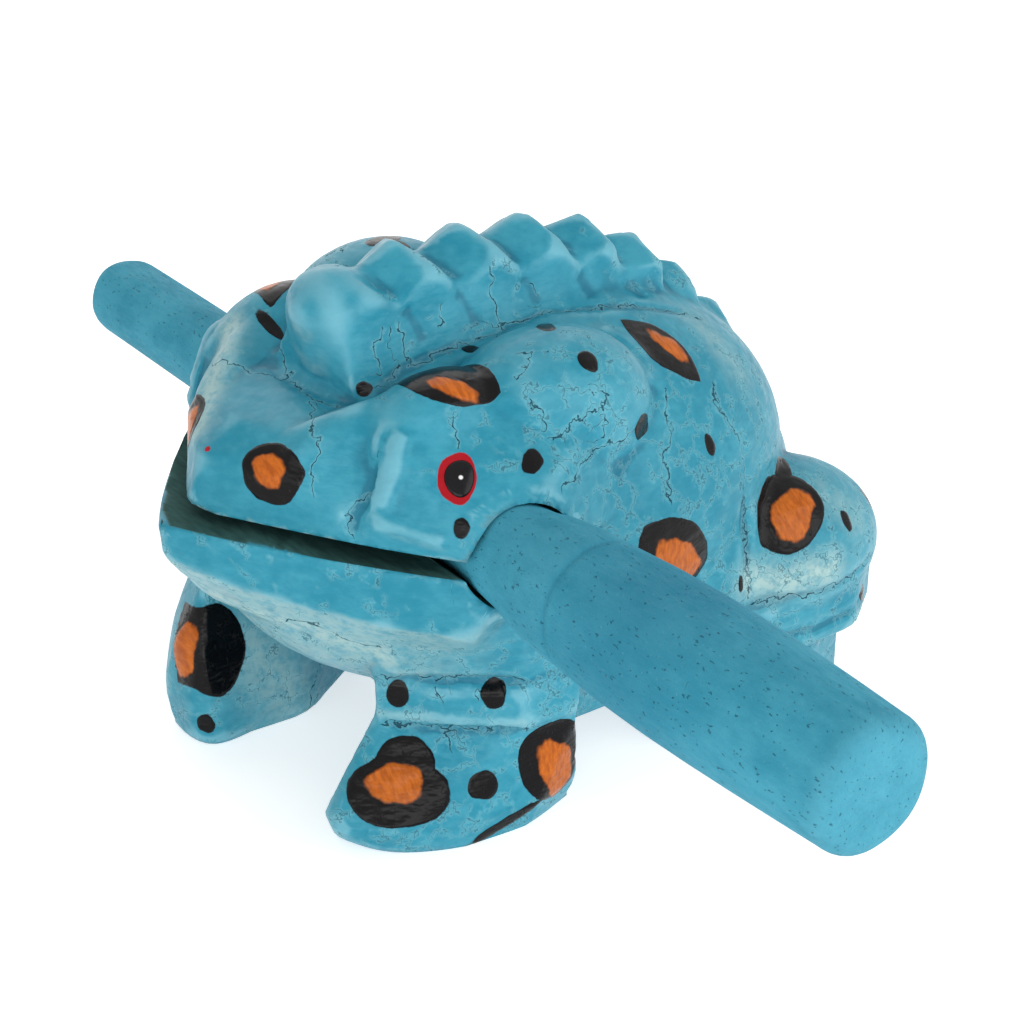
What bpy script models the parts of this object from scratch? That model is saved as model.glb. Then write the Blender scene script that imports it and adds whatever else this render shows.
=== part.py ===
"""Frog guiro: a carved, painted wooden frog with a notched back ridge, and the
turned wooden stick that is stored in the hole through its cheeks.

The frog faces -Y, its left side is +X, and it stands on its soles. The carving
is laid out from the middle of its cross hole: y = 0 is the hole's axis and
z = 0 the ground. At the end both pieces are moved together, so that the origin
lies on the ground under the middle of the whole object."""

import math

import bmesh
import bpy
from mathutils import Matrix
from mathutils import Vector

# Stick: distances along it are measured from the frog's middle plane
SHAFT_DIAMETER = 0.0113
SHAFT_TIP_REACH = 0.0660
SHAFT_TIP_ROUND = 0.0038
NECK_DIAMETER = 0.0132
NECK_FLARE_START = 0.0240
HANDLE_START_DIAMETER = 0.0159
HANDLE_DIAMETER = 0.0171
HANDLE_END_DIAMETER = 0.0155
HANDLE_END_ROUND = 0.0024
HANDLE_END_REACH = 0.0894
RING_PLACE = 0.0455
RING_DEPTH = 0.0003
RING_HALF_WIDTH = 0.0005
STICK_SIDES = 36
STICK_LEAN = 0.5

# Hole through both cheeks
SEAT_GAP = 0.0003
HOLE_DIAMETER = NECK_DIAMETER + 2 * SEAT_GAP
HOLE_HEIGHT = 0.0406
HOLE_SIDES = 40

# Mouth: a cut from the lips back to the hole, narrower towards the lips
MOUTH_TOP = 0.0415
MOUTH_GAP = 0.0032
MOUTH_LIP_GAP = 0.0013
LIP_TRIM = 0.0005

# Head
CHEEK_HALF_WIDTH = 0.0338
SNOUT_REACH = 0.0254
LOWER_LIP_LEAD = 0.0040
BROW_CENTRE = (0.0168, -0.0015, 0.0510)
BROW_RADII = (0.0068, 0.0100, 0.0073)
BROW_TILT = 8.0

# Trunk
TRUNK_CENTRE = (0.0, 0.0190, 0.0340)
TRUNK_RADII = (0.0303, 0.0405, 0.0252)
RUMP_CENTRE = (0.0, 0.0430, 0.0260)
RUMP_RADII = (0.0190, 0.0205, 0.0170)
SHOULDER_CENTRE = (0.0180, 0.0135, 0.0500)
SHOULDER_RADII = (0.0105, 0.0135, 0.0104)
THIGH_CENTRE = (0.0185, 0.0500, 0.0220)
THIGH_RADII = (0.0118, 0.0160, 0.0113)
THIGH_TILT = -8.0
BELLY_HEIGHT = 0.0085
SOLE_OVERCUT = 0.0010

# Back ridge and its teeth
RIDGE_TOP = 0.0688
RIDGE_TOP_PLACE = 0.0110
RIDGE_FALL = 0.0024
RIDGE_FALL_SPAN = 0.0195
RIDGE_FALL_POWER = 2.6
RIDGE_FRONT = -0.0075
RIDGE_REAR = 0.0560
RIDGE_HALF_WIDTH = 0.0062
RIDGE_FOOT_HALF_WIDTH = 0.0086
RIDGE_NARROWING_START = 0.0260
RIDGE_REAR_SHARE = 0.5
RIDGE_SEGMENTS = 14
TOOTH_COUNT = 8
TOOTH_PITCH = 0.0096
FIRST_TOOTH = -0.0056
TOOTH_HALF_WIDTH = 0.0062
TOOTH_HEIGHT = 0.0064
TOOTH_SWEEP = 0.0027
FULL_TEETH = 4
TOOTH_SHRINK = 0.10
PROW_RADIUS = 0.0063
PROW_HEIGHT = 0.0604
PROW_FRONT = -0.0086
PROW_FOOT_HEIGHT = 0.0513
PROW_CHIN_HEIGHT = 0.0535

# Legs: the front foot's ankle ring lies between two heights
ANKLE_LOW = 0.0150
ANKLE_HIGH = 0.0202
FOOT_MIDDLE_HEIGHT = 0.0040
THIGH_FOLD_HEIGHT = 0.0185
SHANK_FOLD_HEIGHT = 0.0105

# Corners of the carved blocks, in steps of LAYOUT_STEP, for the left side
LAYOUT_STEP = 0.001
UPPER_LIP_LINE = (
    (5, -22.2), (12.7, -18.0), (18.9, -14.6), (24.5, -11.4), (28.7, -7.7), (31.5, -3), (31, 10),
)
LOWER_LIP_LINE = (
    (5, -26.5), (10, -23.0), (15, -19.1), (19.5, -15.7), (24.3, -11.9), (28.6, -7.7), (32.6, -2),
)
SNOUT_CORNERS = (
    (0, -23.6, 47.5), (5, -20.8, 48.5), (11, -18.8, 48.0), (15, -15.6, 47.5), (0, -19, 51.2),
    (6, -17.8, 50.8), (11, -16.5, 50.8), (15, -12, 52.5), (17, 0, 53), (0, 5, 52.5), (24, -4, 47),
)
NASAL_RIDGE_CORNERS = (
    (6, -18.2, 50.2), (11, -17.8, 50.2), (15, -14, 50), (9, -14.2, 53), (13, -10.5, 55.4),
    (17, -9, 54.5), (16, -3, 57.3), (11.5, -3, 55), (6, -12, 50.5), (8, -3, 50), (17, -3, 50),
)
CHEEK_CORNERS = (
    (18.6, -11.2, 54.4), (20.5, -13.6, 45.5), (22, -12.6, 42), (28.7, -8.0, 39.9),
    (28.7, -8.0, 42), (20, 2, 56.5), (24.5, -4.5, 50.2), (31.5, 4, 49), (27.5, 13, 52),
    (28.3, 17, 42), (10, 0, 45), (10, 10, 40),
)
CHEEK_RIM = ((-4.5, 43), (3, 45), (6, 38), (-3, 36.5))
JAW_CORNERS = (
    (0, -28.9, 36), (7, -25.2, 34.5), (15, -19.2, 33), (23, -13.3, 32), (30, -6, 31), (0, -23.5, 29),
    (7, -20, 28), (12, -14, 24.5), (0, -6, 15.5), (8, -5, 17), (0, 6, 10), (14, 8, 12), (32, 8, 40),
)
CHEST_CORNERS = (
    (26, -10.5, 38), (30, -5, 38), (33, 0, 38), (29.5, 18, 35), (10, 0, 38), (10, 14, 38), (28, 13, 18),
    (12, -6, 22), (12, 12, 14),
)
ANKLE_OUTLINE = ((16.6, -10.8), (22.9, -4.6), (28.6, 2.8), (29, 11), (14, 10), (13.5, -8.4))
FOOT_TOP_OUTLINE = ((15, -10.3), (17.6, -9.3), (21.8, -3.9), (27.3, 3.6), (28.2, 11), (14, 9))
FOOT_MIDDLE_OUTLINE = ((15, -17.8), (18.5, -18.6), (24, -13), (27.3, -5), (28.6, 5), (26.5, 12.5), (13, -8))
SOLE_OUTLINE = ((14, -15.5), (17, -15.5), (22.5, -12.5), (26, -6), (27, 4), (24.5, 12), (14, 9), (12, -5))
RIGHT_LEG_FRONT = (
    (17, -12, 25), (23, -11.5, 25), (15, -16, 22), (23, -14, 18), (13.5, -17, 14), (18, -18, 14),
    (24, -14.5, 13), (12, -16.5, 6), (14.5, -18.9, 6), (20, -18.8, 6), (25, -14.5, 7), (12, -15.5, -1),
    (14.5, -18, -1), (19.5, -18, -1), (13, 0, 8), (24, 0, 18),
)
BELLY_OUTLINE = ((20, 0), (20, 50))
FLANK_CORNERS = (
    (25, 4, 11), (25, 46, 11), (28.8, 8, 22), (28, 40, 22), (28.5, 6, 34), (26, 40, 34), (10, -2, 12),
    (10, 56, 12), (10, 58, 26),
)
SHANK_OUTLINE = ((27.5, 36), (29, 42), (28.5, 57), (23, 64.5), (12, 62), (12, 38))
HIND_FOOT_OUTLINE = ((24.5, 30.5), (27.5, 36), (27, 51), (22.3, 60), (13, 58.5), (12.5, 34.5))

# Mesh of the carving
CARVING_GRAIN = 0.0008
SOFTENING = 0.5
SOFTENING_ROUNDS = 1
KEPT_SHARE = 0.096


def clear_scene():
    for thing in list(bpy.data.objects):
        bpy.data.objects.remove(thing, do_unlink=True)


def make_collection(name):
    group = bpy.data.collections.new(name)
    bpy.context.scene.collection.children.link(group)
    return group


def make_material(name, colour, roughness):
    material = bpy.data.materials.new(name)
    material.use_nodes = True
    shader = material.node_tree.nodes["Principled BSDF"]
    shader.inputs["Base Color"].default_value = (*colour, 1.0)
    shader.inputs["Roughness"].default_value = roughness
    shader.inputs["Metallic"].default_value = 0.0
    return material


def laid_out(rows, side=1):
    """Layout rows as points in metres, on the left side (1) or the right (-1)."""
    return [(side * x * LAYOUT_STEP, y * LAYOUT_STEP, z * LAYOUT_STEP) for x, y, z in rows]


def at_height(outline, height, side=1):
    """A plan outline from the layout, as points at one height."""
    return [(side * x * LAYOUT_STEP, y * LAYOUT_STEP, height) for x, y in outline]


def both_sides(points):
    return [(side * x, y, z) for x, y, z in points for side in (1, -1)]


def hull(corners):
    """A carved block: the convex hull of its corners."""
    block = bmesh.new()
    for corner in corners:
        block.verts.new(corner)
    result = bmesh.ops.convex_hull(block, input=block.verts)
    inner = [item for item in result["geom_interior"] if isinstance(item, bmesh.types.BMVert)]
    bmesh.ops.delete(block, geom=inner, context="VERTS")
    return block


def lump(centre, radii, side=1, tilt=0.0):
    """An ellipsoid, tilted about X by tilt degrees."""
    ball = bmesh.new()
    x, y, z = centre
    placed = (
        Matrix.Translation(Vector((side * x, y, z)))
        @ Matrix.Rotation(math.radians(tilt), 4, "X")
        @ Matrix.Diagonal((*radii, 1.0))
    )
    bmesh.ops.create_icosphere(ball, subdivisions=4, radius=1.0, matrix=placed)
    return ball


def mouth_floor(y):
    """Height of the lower lip's top: it rises from the hole to the lips."""
    return MOUTH_TOP - MOUTH_GAP - (MOUTH_GAP - MOUTH_LIP_GAP) * y / SNOUT_REACH


def snout():
    trim = MOUTH_TOP - LIP_TRIM
    points = [(0.0, -SNOUT_REACH, trim)]
    points += at_height(UPPER_LIP_LINE, trim)
    points += laid_out(SNOUT_CORNERS)
    return hull(both_sides(points))


def lower_jaw():
    tip = -SNOUT_REACH - LOWER_LIP_LEAD
    points = [(0.0, tip, mouth_floor(tip) + LIP_TRIM), (0.0, 0.0, HOLE_HEIGHT)]
    for x, y in LOWER_LIP_LINE:
        y = y * LAYOUT_STEP
        points.append((x * LAYOUT_STEP, y, mouth_floor(y) + LIP_TRIM))
    points += laid_out(JAW_CORNERS)
    return hull(both_sides(points))


def cheek(side):
    points = laid_out(CHEEK_CORNERS, side)
    for y, z in CHEEK_RIM:
        points.append((side * CHEEK_HALF_WIDTH, y * LAYOUT_STEP, z * LAYOUT_STEP))
    return hull(points)


def chest(side):
    return hull(laid_out(CHEST_CORNERS, side) + at_height(FOOT_TOP_OUTLINE[:4], ANKLE_HIGH, side))


def front_leg(side):
    """Ankle ring and foot. The right leg is cut less deep, so its front stands further forward."""
    ankle = at_height(ANKLE_OUTLINE, ANKLE_HIGH, side) + at_height(ANKLE_OUTLINE, ANKLE_LOW, side)
    foot = at_height(FOOT_TOP_OUTLINE, ANKLE_LOW, side)
    foot += at_height(FOOT_MIDDLE_OUTLINE, FOOT_MIDDLE_HEIGHT, side)
    foot += at_height(SOLE_OUTLINE, -SOLE_OVERCUT, side)
    blocks = [hull(ankle), hull(foot)]
    if side < 0:
        blocks.append(hull(laid_out(RIGHT_LEG_FRONT, side)))
    return blocks


def flanks():
    points = at_height(BELLY_OUTLINE, BELLY_HEIGHT)
    points += laid_out(FLANK_CORNERS)
    return hull(both_sides(points))


def hind_leg(side):
    """Thigh, with the shank and the foot folded flat under it."""
    shank = at_height(SHANK_OUTLINE, THIGH_FOLD_HEIGHT, side)
    shank += at_height(SHANK_OUTLINE, SHANK_FOLD_HEIGHT, side)
    foot = at_height(HIND_FOOT_OUTLINE, SHANK_FOLD_HEIGHT, side)
    foot += at_height(HIND_FOOT_OUTLINE, -SOLE_OVERCUT, side)
    return [lump(THIGH_CENTRE, THIGH_RADII, side, THIGH_TILT), hull(shank), hull(foot)]


def ridge_height(y):
    away = abs(y - RIDGE_TOP_PLACE) / RIDGE_FALL_SPAN
    return RIDGE_TOP - RIDGE_FALL * away**RIDGE_FALL_POWER


def tooth_places():
    """Place, height and slope of each tooth's peak, one pitch apart along the ridge line."""
    places = []
    y = FIRST_TOOTH
    step = TOOTH_PITCH / 100
    for _ in range(TOOTH_COUNT):
        rise = ridge_height(y + step) - ridge_height(y)
        places.append((y, ridge_height(y), math.atan2(rise, step)))
        walked = 0.0
        while walked < TOOTH_PITCH:
            walked += math.hypot(step, ridge_height(y + step) - ridge_height(y))
            y += step
    return places


def tooth(y, z, slope, size):
    """A tooth like a saw's: a long slope in front, a short one behind, both swept back at the sides."""
    half = TOOTH_HALF_WIDTH
    front = 0.67 * TOOTH_PITCH
    rear = 0.36 * TOOTH_PITCH
    low = -TOOTH_HEIGHT
    points = [
        (0, 0, 0), (half, TOOTH_SWEEP, 0.42 * low),
        (0, -front, 0.5 * low), (half, TOOTH_SWEEP - front, low),
        (0, rear, 0.57 * low), (half, TOOTH_SWEEP + 0.8 * rear, low),
        (half, 0, 1.25 * low), (0, -0.8 * front, 1.25 * low), (0, 1.4 * rear, 1.25 * low),
    ]
    block = hull(both_sides(points))
    placed = Matrix.Translation((0, y, z)) @ Matrix.Rotation(slope, 4, "X") @ Matrix.Scale(size, 4)
    bmesh.ops.transform(block, matrix=placed, verts=block.verts)
    return block


def ridge_section(y):
    """Corners of the ridge's bank at one place. It narrows towards the rear."""
    passed = max(0.0, (y - RIDGE_NARROWING_START) / (RIDGE_REAR - RIDGE_NARROWING_START))
    share = 1.0 - (1.0 - RIDGE_REAR_SHARE) * passed
    top = ridge_height(y) - TOOTH_HEIGHT
    return [
        (RIDGE_HALF_WIDTH * share, y, top),
        (RIDGE_FOOT_HALF_WIDTH * share, y, top - 1.1 * TOOTH_HEIGHT),
        (RIDGE_HALF_WIDTH * share, y, top - 2.5 * TOOTH_HEIGHT),
    ]


def ridge():
    blocks = []
    for number, (y, z, slope) in enumerate(tooth_places()):
        size = 1.0 - TOOTH_SHRINK * max(0, number - FULL_TEETH + 1)
        blocks.append(tooth(y, z, slope, size))
    run = (RIDGE_REAR - RIDGE_FRONT) / RIDGE_SEGMENTS
    for index in range(RIDGE_SEGMENTS):
        y = RIDGE_FRONT + index * run
        blocks.append(hull(both_sides(ridge_section(y) + ridge_section(y + run))))
    return blocks


def prow():
    """The ridge's round front end, which narrows to a point between the brows."""
    points = []
    rounding = 0.25 * PROW_RADIUS
    for radius, y in ((PROW_RADIUS - rounding, PROW_FRONT), (PROW_RADIUS, PROW_FRONT + rounding),
                      (PROW_RADIUS, PROW_FRONT + PROW_RADIUS)):
        for turn in range(20):
            angle = math.tau * turn / 20
            points.append((radius * math.cos(angle), y, PROW_HEIGHT + radius * math.sin(angle)))
    points.append((0.0, PROW_FRONT + 0.22 * PROW_RADIUS, PROW_CHIN_HEIGHT))
    points.append((0.0, PROW_FRONT + 0.5 * PROW_RADIUS, PROW_FOOT_HEIGHT))
    points.append((0.0, PROW_FRONT + 1.4 * PROW_RADIUS, PROW_FOOT_HEIGHT))
    return hull(points)


def gather(name, blocks):
    """One mesh object that holds all the blocks, still as overlapping shells."""
    mesh = bpy.data.meshes.new(name)
    for block in blocks:
        bmesh.ops.recalc_face_normals(block, faces=block.faces)
        if mesh.vertices:
            block.from_mesh(mesh)
        block.to_mesh(mesh)
        block.free()
    return bpy.data.objects.new(name, mesh)


def frog_body(group):
    """The blocks made one skin, softened as a knife and paint leave it, then thinned."""
    nasal = [hull(laid_out(NASAL_RIDGE_CORNERS, side)) for side in (1, -1)]
    blocks = [snout(), lower_jaw(), flanks(), prow()] + nasal + ridge()
    blocks += [lump(TRUNK_CENTRE, TRUNK_RADII), lump(RUMP_CENTRE, RUMP_RADII)]
    for side in (1, -1):
        blocks += [cheek(side), chest(side), lump(BROW_CENTRE, BROW_RADII, side, BROW_TILT)]
        blocks += [lump(SHOULDER_CENTRE, SHOULDER_RADII, side)] + front_leg(side) + hind_leg(side)
    body = gather("frog_body", blocks)
    group.objects.link(body)
    skin = body.modifiers.new("one_skin", "REMESH")
    skin.mode = "VOXEL"
    skin.voxel_size = CARVING_GRAIN
    skin.use_smooth_shade = True
    soften = body.modifiers.new("soften", "SMOOTH")
    soften.factor = SOFTENING
    soften.iterations = SOFTENING_ROUNDS
    thin = body.modifiers.new("thin", "DECIMATE")
    thin.ratio = KEPT_SHARE
    return body


def box(low, high):
    block = bmesh.new()
    middle = [(near + far) / 2 for near, far in zip(low, high)]
    size = [far - near for near, far in zip(low, high)]
    placed = Matrix.Translation(middle) @ Matrix.Diagonal((*size, 1.0))
    bmesh.ops.create_cube(block, size=1.0, matrix=placed)
    return block


def ground_cut():
    wide = 3 * CHEEK_HALF_WIDTH
    return box((-wide, -wide, -wide), (wide, wide, 0.0))


def hole_cut():
    rod = bmesh.new()
    placed = Matrix.Translation((0.0, 0.0, HOLE_HEIGHT)) @ Matrix.Rotation(math.radians(90), 4, "Y")
    bmesh.ops.create_cone(rod, cap_ends=True, segments=HOLE_SIDES, radius1=HOLE_DIAMETER / 2,
                          radius2=HOLE_DIAMETER / 2, depth=3 * CHEEK_HALF_WIDTH, matrix=placed)
    return rod


def mouth_cut():
    wide = 1.5 * CHEEK_HALF_WIDTH
    front = -SNOUT_REACH - 2 * LOWER_LIP_LEAD
    corners = [(wide, y, z) for y in (front, 0.0) for z in (mouth_floor(y), MOUTH_TOP)]
    return hull(both_sides(corners))


def carve(body, group):
    """Flat soles, the cross hole and the mouth, cut out in turn. The mouth opens into the hole,
    and together they are the frog's sounding hollow."""
    cuts = (("ground", ground_cut), ("hole", hole_cut), ("mouth", mouth_cut))
    for name, shape in cuts:
        block = shape()
        bmesh.ops.recalc_face_normals(block, faces=block.faces)
        mesh = bpy.data.meshes.new(name)
        block.to_mesh(mesh)
        block.free()
        tool = bpy.data.objects.new(name + "_cutter", mesh)
        tool.hide_render = True
        tool.display_type = "WIRE"
        group.objects.link(tool)
        cut = body.modifiers.new(name, "BOOLEAN")
        cut.operation = "DIFFERENCE"
        cut.solver = "EXACT"
        cut.object = tool


def stick_outline():
    """Radius and place along the axis, from the handle's end to the shaft's tip."""
    shaft = SHAFT_DIAMETER / 2
    ring = HANDLE_START_DIAMETER / 2
    widest = RING_PLACE + 0.35 * (HANDLE_END_REACH - RING_PLACE)
    end = HANDLE_END_DIAMETER / 2
    points = [(0.0, HANDLE_END_REACH)]
    for step in range(6):
        angle = math.radians(18 * step)
        points.append((end - HANDLE_END_ROUND * (1 - math.sin(angle)),
                       HANDLE_END_REACH - HANDLE_END_ROUND * (1 - math.cos(angle))))
    for share in (0.75, 0.5, 0.25, 0.0):
        swell = math.cos(share * math.pi / 2)
        radius = end + (HANDLE_DIAMETER / 2 - end) * swell
        points.append((radius, widest + share * (HANDLE_END_REACH - HANDLE_END_ROUND - widest)))
    points.append((ring + 0.75 * (HANDLE_DIAMETER / 2 - ring), (widest + RING_PLACE) / 2))
    points.append((ring, RING_PLACE + RING_HALF_WIDTH))
    points.append((ring - RING_DEPTH, RING_PLACE))
    points.append((ring, RING_PLACE - RING_HALF_WIDTH))
    neck = NECK_DIAMETER / 2
    points.append((neck + 0.85 * (ring - neck), CHEEK_HALF_WIDTH + 0.55 * (RING_PLACE - CHEEK_HALF_WIDTH)))
    points.append((neck + 0.5 * (ring - neck), CHEEK_HALF_WIDTH + 0.25 * (RING_PLACE - CHEEK_HALF_WIDTH)))
    points.append((neck, CHEEK_HALF_WIDTH))
    points.append((shaft, NECK_FLARE_START))
    for step in range(7):
        angle = math.radians(15 * step)
        points.append((shaft - SHAFT_TIP_ROUND * (1 - math.cos(angle)),
                       -SHAFT_TIP_REACH + SHAFT_TIP_ROUND * (1 - math.sin(angle))))
    points.append((0.0, -SHAFT_TIP_REACH))
    return points


def rasp_stick(group):
    """The turned stick. Its neck sits in the hole's left mouth, and it leans down to the handle."""
    outline = stick_outline()
    mesh = bpy.data.meshes.new("rasp_stick")
    edges = [(index, index + 1) for index in range(len(outline) - 1)]
    mesh.from_pydata([(radius, 0.0, along) for radius, along in outline], edges, [])
    stick = bpy.data.objects.new("rasp_stick", mesh)
    group.objects.link(stick)
    turn = stick.modifiers.new("turn", "SCREW")
    turn.steps = STICK_SIDES
    turn.render_steps = STICK_SIDES
    turn.use_merge_vertices = True
    turn.merge_threshold = 0.00001
    turn.use_smooth_shade = True
    lean = math.radians(STICK_LEAN)
    middle_height = HOLE_HEIGHT + CHEEK_HALF_WIDTH * math.tan(lean)
    stick.matrix_world = (
        Matrix.Translation((0.0, 0.0, middle_height)) @ Matrix.Rotation(math.radians(90) + lean, 4, "Y")
    )
    return stick


def stand_on_origin(pieces, tools):
    """Moves everything together: origin on the ground, under the middle of the whole object."""
    bpy.context.view_layer.update()
    graph = bpy.context.evaluated_depsgraph_get()
    corners = []
    for piece in pieces:
        shape = piece.evaluated_get(graph)
        mesh = shape.to_mesh()
        corners += [piece.matrix_world @ vertex.co for vertex in mesh.vertices]
        shape.to_mesh_clear()
    middle = [(min(c[axis] for c in corners) + max(c[axis] for c in corners)) / 2 for axis in (0, 1)]
    shift = Matrix.Translation((-middle[0], -middle[1], 0.0))
    for thing in list(pieces) + list(tools.objects):
        thing.matrix_world = shift @ thing.matrix_world


def main():
    clear_scene()
    group = make_collection("frog_guiro")
    tools = make_collection("cutters")
    body = frog_body(group)
    carve(body, tools)
    body.data.materials.append(make_material("blue_paint", (0.075, 0.32, 0.44), 0.45))
    stick = rasp_stick(group)
    stick.data.materials.append(make_material("stained_wood", (0.03, 0.22, 0.35), 0.75))
    stand_on_origin((body, stick), tools)


main()
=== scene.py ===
import math

import bpy
import numpy as np
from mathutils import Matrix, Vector


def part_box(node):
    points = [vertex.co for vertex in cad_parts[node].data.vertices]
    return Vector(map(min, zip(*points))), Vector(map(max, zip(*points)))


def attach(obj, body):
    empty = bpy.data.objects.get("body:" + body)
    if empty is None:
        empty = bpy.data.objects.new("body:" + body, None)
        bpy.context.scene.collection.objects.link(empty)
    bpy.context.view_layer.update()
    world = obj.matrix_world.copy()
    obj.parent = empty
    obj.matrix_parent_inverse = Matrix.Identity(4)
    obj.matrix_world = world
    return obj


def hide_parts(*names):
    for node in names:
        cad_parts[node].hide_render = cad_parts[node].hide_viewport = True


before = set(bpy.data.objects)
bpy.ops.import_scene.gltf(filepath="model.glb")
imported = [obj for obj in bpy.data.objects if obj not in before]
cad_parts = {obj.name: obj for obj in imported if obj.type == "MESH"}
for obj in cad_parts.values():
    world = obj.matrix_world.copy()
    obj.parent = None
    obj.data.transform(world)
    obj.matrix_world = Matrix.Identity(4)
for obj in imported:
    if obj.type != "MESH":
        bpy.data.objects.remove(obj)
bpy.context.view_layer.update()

# The frog's own layout, in millimetres: x = 0 is its middle plane, with its left side at +x,
# y = 0 is the axis of the hole through its cheeks, and z = 0 is the ground. It faces -y, and
# its lip's tip is its foremost point. The points on its left side that follow were picked on the
# photograph by eye, cast onto the solids through the camera by a helper script and rounded, and
# some were then moved by hand.
MM = 0.001
LIP_TIP = 29.07
frog_low, frog_high = [np.array(corner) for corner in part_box("frog_body")]
LAYOUT_ORIGIN = np.array([(frog_low[0] + frog_high[0]) / 2, frog_low[1] + LIP_TIP * MM, 0.0])

# Camera: where the photograph was taken from
CAMERA_PLACE = (220.1, -138.4, 166.0)
CAMERA_AZIMUTH = 54.0
CAMERA_ELEVATION = 27.1
CAMERA_LENS = 82.6
CAMERA_SENSOR = 36.0

# Skin of the carving: how fine its triangles are, which creases stay, and the rounds of smoothing
LONGEST_EDGE = 1.1
INSIDE_COARSER = 5
SPOT_EDGE = 0.6
SPOT_SURROUND = 0.7
FAR = 1e9
OUT_OF_REACH = 9.0
CREASE_ANGLE = 30.0
CREASE_ROUNDS = 6
RIM_ROUNDS = 24
FACET_ROUNDS = 26
ALL_ROUNDS = 4
PROW_ROUNDS = 40
PROW_BACK_END = 0.2
PROW_LOW = 54.6
PROW_HALF_WIDTH = 7.6
BULGE_ROUNDS = 6
LEVEL_BULGE = 0.03

# How far what the right side repeats of the left one is moved along it
RIGHT_SIDE_WANDER = 0.9
FURROW_WANDER = 0.4

# The right front foot: how far its inner side moves in at the toe and out at the heel,
# and its toe forward
RIGHT_INNER_IN = 1.9
RIGHT_INNER_OUT = 4.2
RIGHT_TOE_FORWARD = 1.8

# The cuts through the head
HOLE_HEIGHT = 40.6
HOLE_RADIUS = 6.9
MOUTH_TOP = 41.5
MOUTH_GAP = 3.2
MOUTH_LIP_GAP = 1.3
MOUTH_REACH = 25.4

# Stick: its lean in degrees, places along its axis from the frog's middle plane, and its radius there
STICK_LEAN = 0.5
STICK_SIDES = 120
TIP_START = -62.2
TIP_ROUND = 3.8
CHEEK_HALF_WIDTH = 33.8
RING_PLACE = 45.5
DARKEST_PLACE = 58.0
HANDLE_END = 87.0
HANDLE_ROUND = 2.4
SHAFT_RADIUS = 5.65
HANDLE_END_RADIUS = 7.75
REACH_PLACES = (
    TIP_START, 24.0, CHEEK_HALF_WIDTH, 36.7, 40.2, RING_PLACE, 53.2, 60.9, 67.5, 74.1, 80.6, HANDLE_END,
)
REACH_RADII = (
    SHAFT_RADIUS, SHAFT_RADIUS, 6.6, 7.27, 7.75, 7.95, 8.4, 8.55, 8.49, 8.32, 8.06, HANDLE_END_RADIUS,
)
RING_DEPTH = 0.3
RING_CUT_HALF_WIDTH = 0.35
LONG_FLATS = 0.07
BROAD_FLATS = 0.05
FLATS_PAST_RADIUS = 4

# Furrows and seams: a line of points on the skin, half width and depth
CREST_BASE = (
    (8.4, -5.4, 54.0), (8.4, -0.8, 55.7), (8.5, 3.8, 56.5), (8.8, 7.4, 57.1), (9.2, 12.6, 57.7),
    (8.6, 20.4, 58.4), (9.4, 27.2, 57.1), (9.6, 32.6, 56.2), (10.0, 38.0, 54.6), (10.0, 45.0, 51.2),
)
SNOUT_VALLEY = (
    (9.1, -4.9, 54.2), (8.4, -7.4, 53.8), (2.3, -9.0, 52.8), (-3.9, -9.6, 52.6), (-9.5, -8.8, 53.5),
)
SNOUT_VALLEY_HALF_WIDTH = 0.9
SNOUT_VALLEY_DEPTH = 0.25
PLATE_FRONT = (
    (19.2, -8.9, 54.9), (19.3, -10.5, 53.6), (19.5, -11.4, 51.3), (19.5, -12.5, 48.1),
    (18.7, -14.0, 44.9), (18.8, -14.7, 41.5),
)
HAUNCH_EDGE = ((26.5, 37.8, 36.0), (26.6, 38.0, 32.7), (27.1, 38.3, 27.9), (27.7, 37.9, 20.7))
SHANK_TOP = (
    (27.7, 38.6, 19.8), (29.1, 43.8, 19.8), (29.6, 49.6, 19.4), (29.2, 55.2, 19.8), (27.0, 60.2, 21.0),
)
SHANK_LOW = ((28.9, 40.0, 14.6), (28.9, 49.4, 13.2), (28.6, 55.4, 13.3), (26.0, 61.0, 14.5))
ANKLE_TOP = (
    (16.5, -10.8, 21.2), (19.6, -7.7, 21.6), (21.8, -4.9, 21.6), (25.0, -0.6, 21.5), (28.4, 3.4, 21.3),
)
ANKLE_LOW = (
    (16.8, -10.4, 14.9), (19.6, -7.8, 14.9), (22.2, -5.2, 14.8), (26.6, 0.4, 14.7), (28.4, 4.0, 14.6),
)
PETAL_SEAMS = (
    ((6.2, 1.4, 62.6), (7.0, 2.6, 60.0), (8.2, 3.4, 57.6)),
    ((6.2, 8.8, 62.8), (7.0, 10.2, 60.2), (8.2, 11.0, 58.0)),
    ((6.2, 18.4, 62.4), (7.0, 19.6, 60.4), (8.2, 20.2, 58.8)),
    ((6.0, 27.2, 60.8), (6.8, 28.0, 59.2), (8.0, 28.4, 57.8)),
    ((5.6, 35.6, 57.6), (6.6, 36.2, 56.4), (7.6, 36.6, 55.4)),
)
FURROW_FADE = 0.15
PETAL_SEAM_HALF_WIDTH = 1.1
PETAL_SEAM_DEPTH = 0.3
FURROWS = (
    (CREST_BASE, 0.8, 0.45), (PLATE_FRONT, 0.9, 0.55), (HAUNCH_EDGE, 0.9, 0.6), (SHANK_TOP, 0.7, 0.5),
    (SHANK_LOW, 0.7, 0.45), (ANKLE_TOP, 0.6, 0.45), (ANKLE_LOW, 0.6, 0.55),
)

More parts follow.
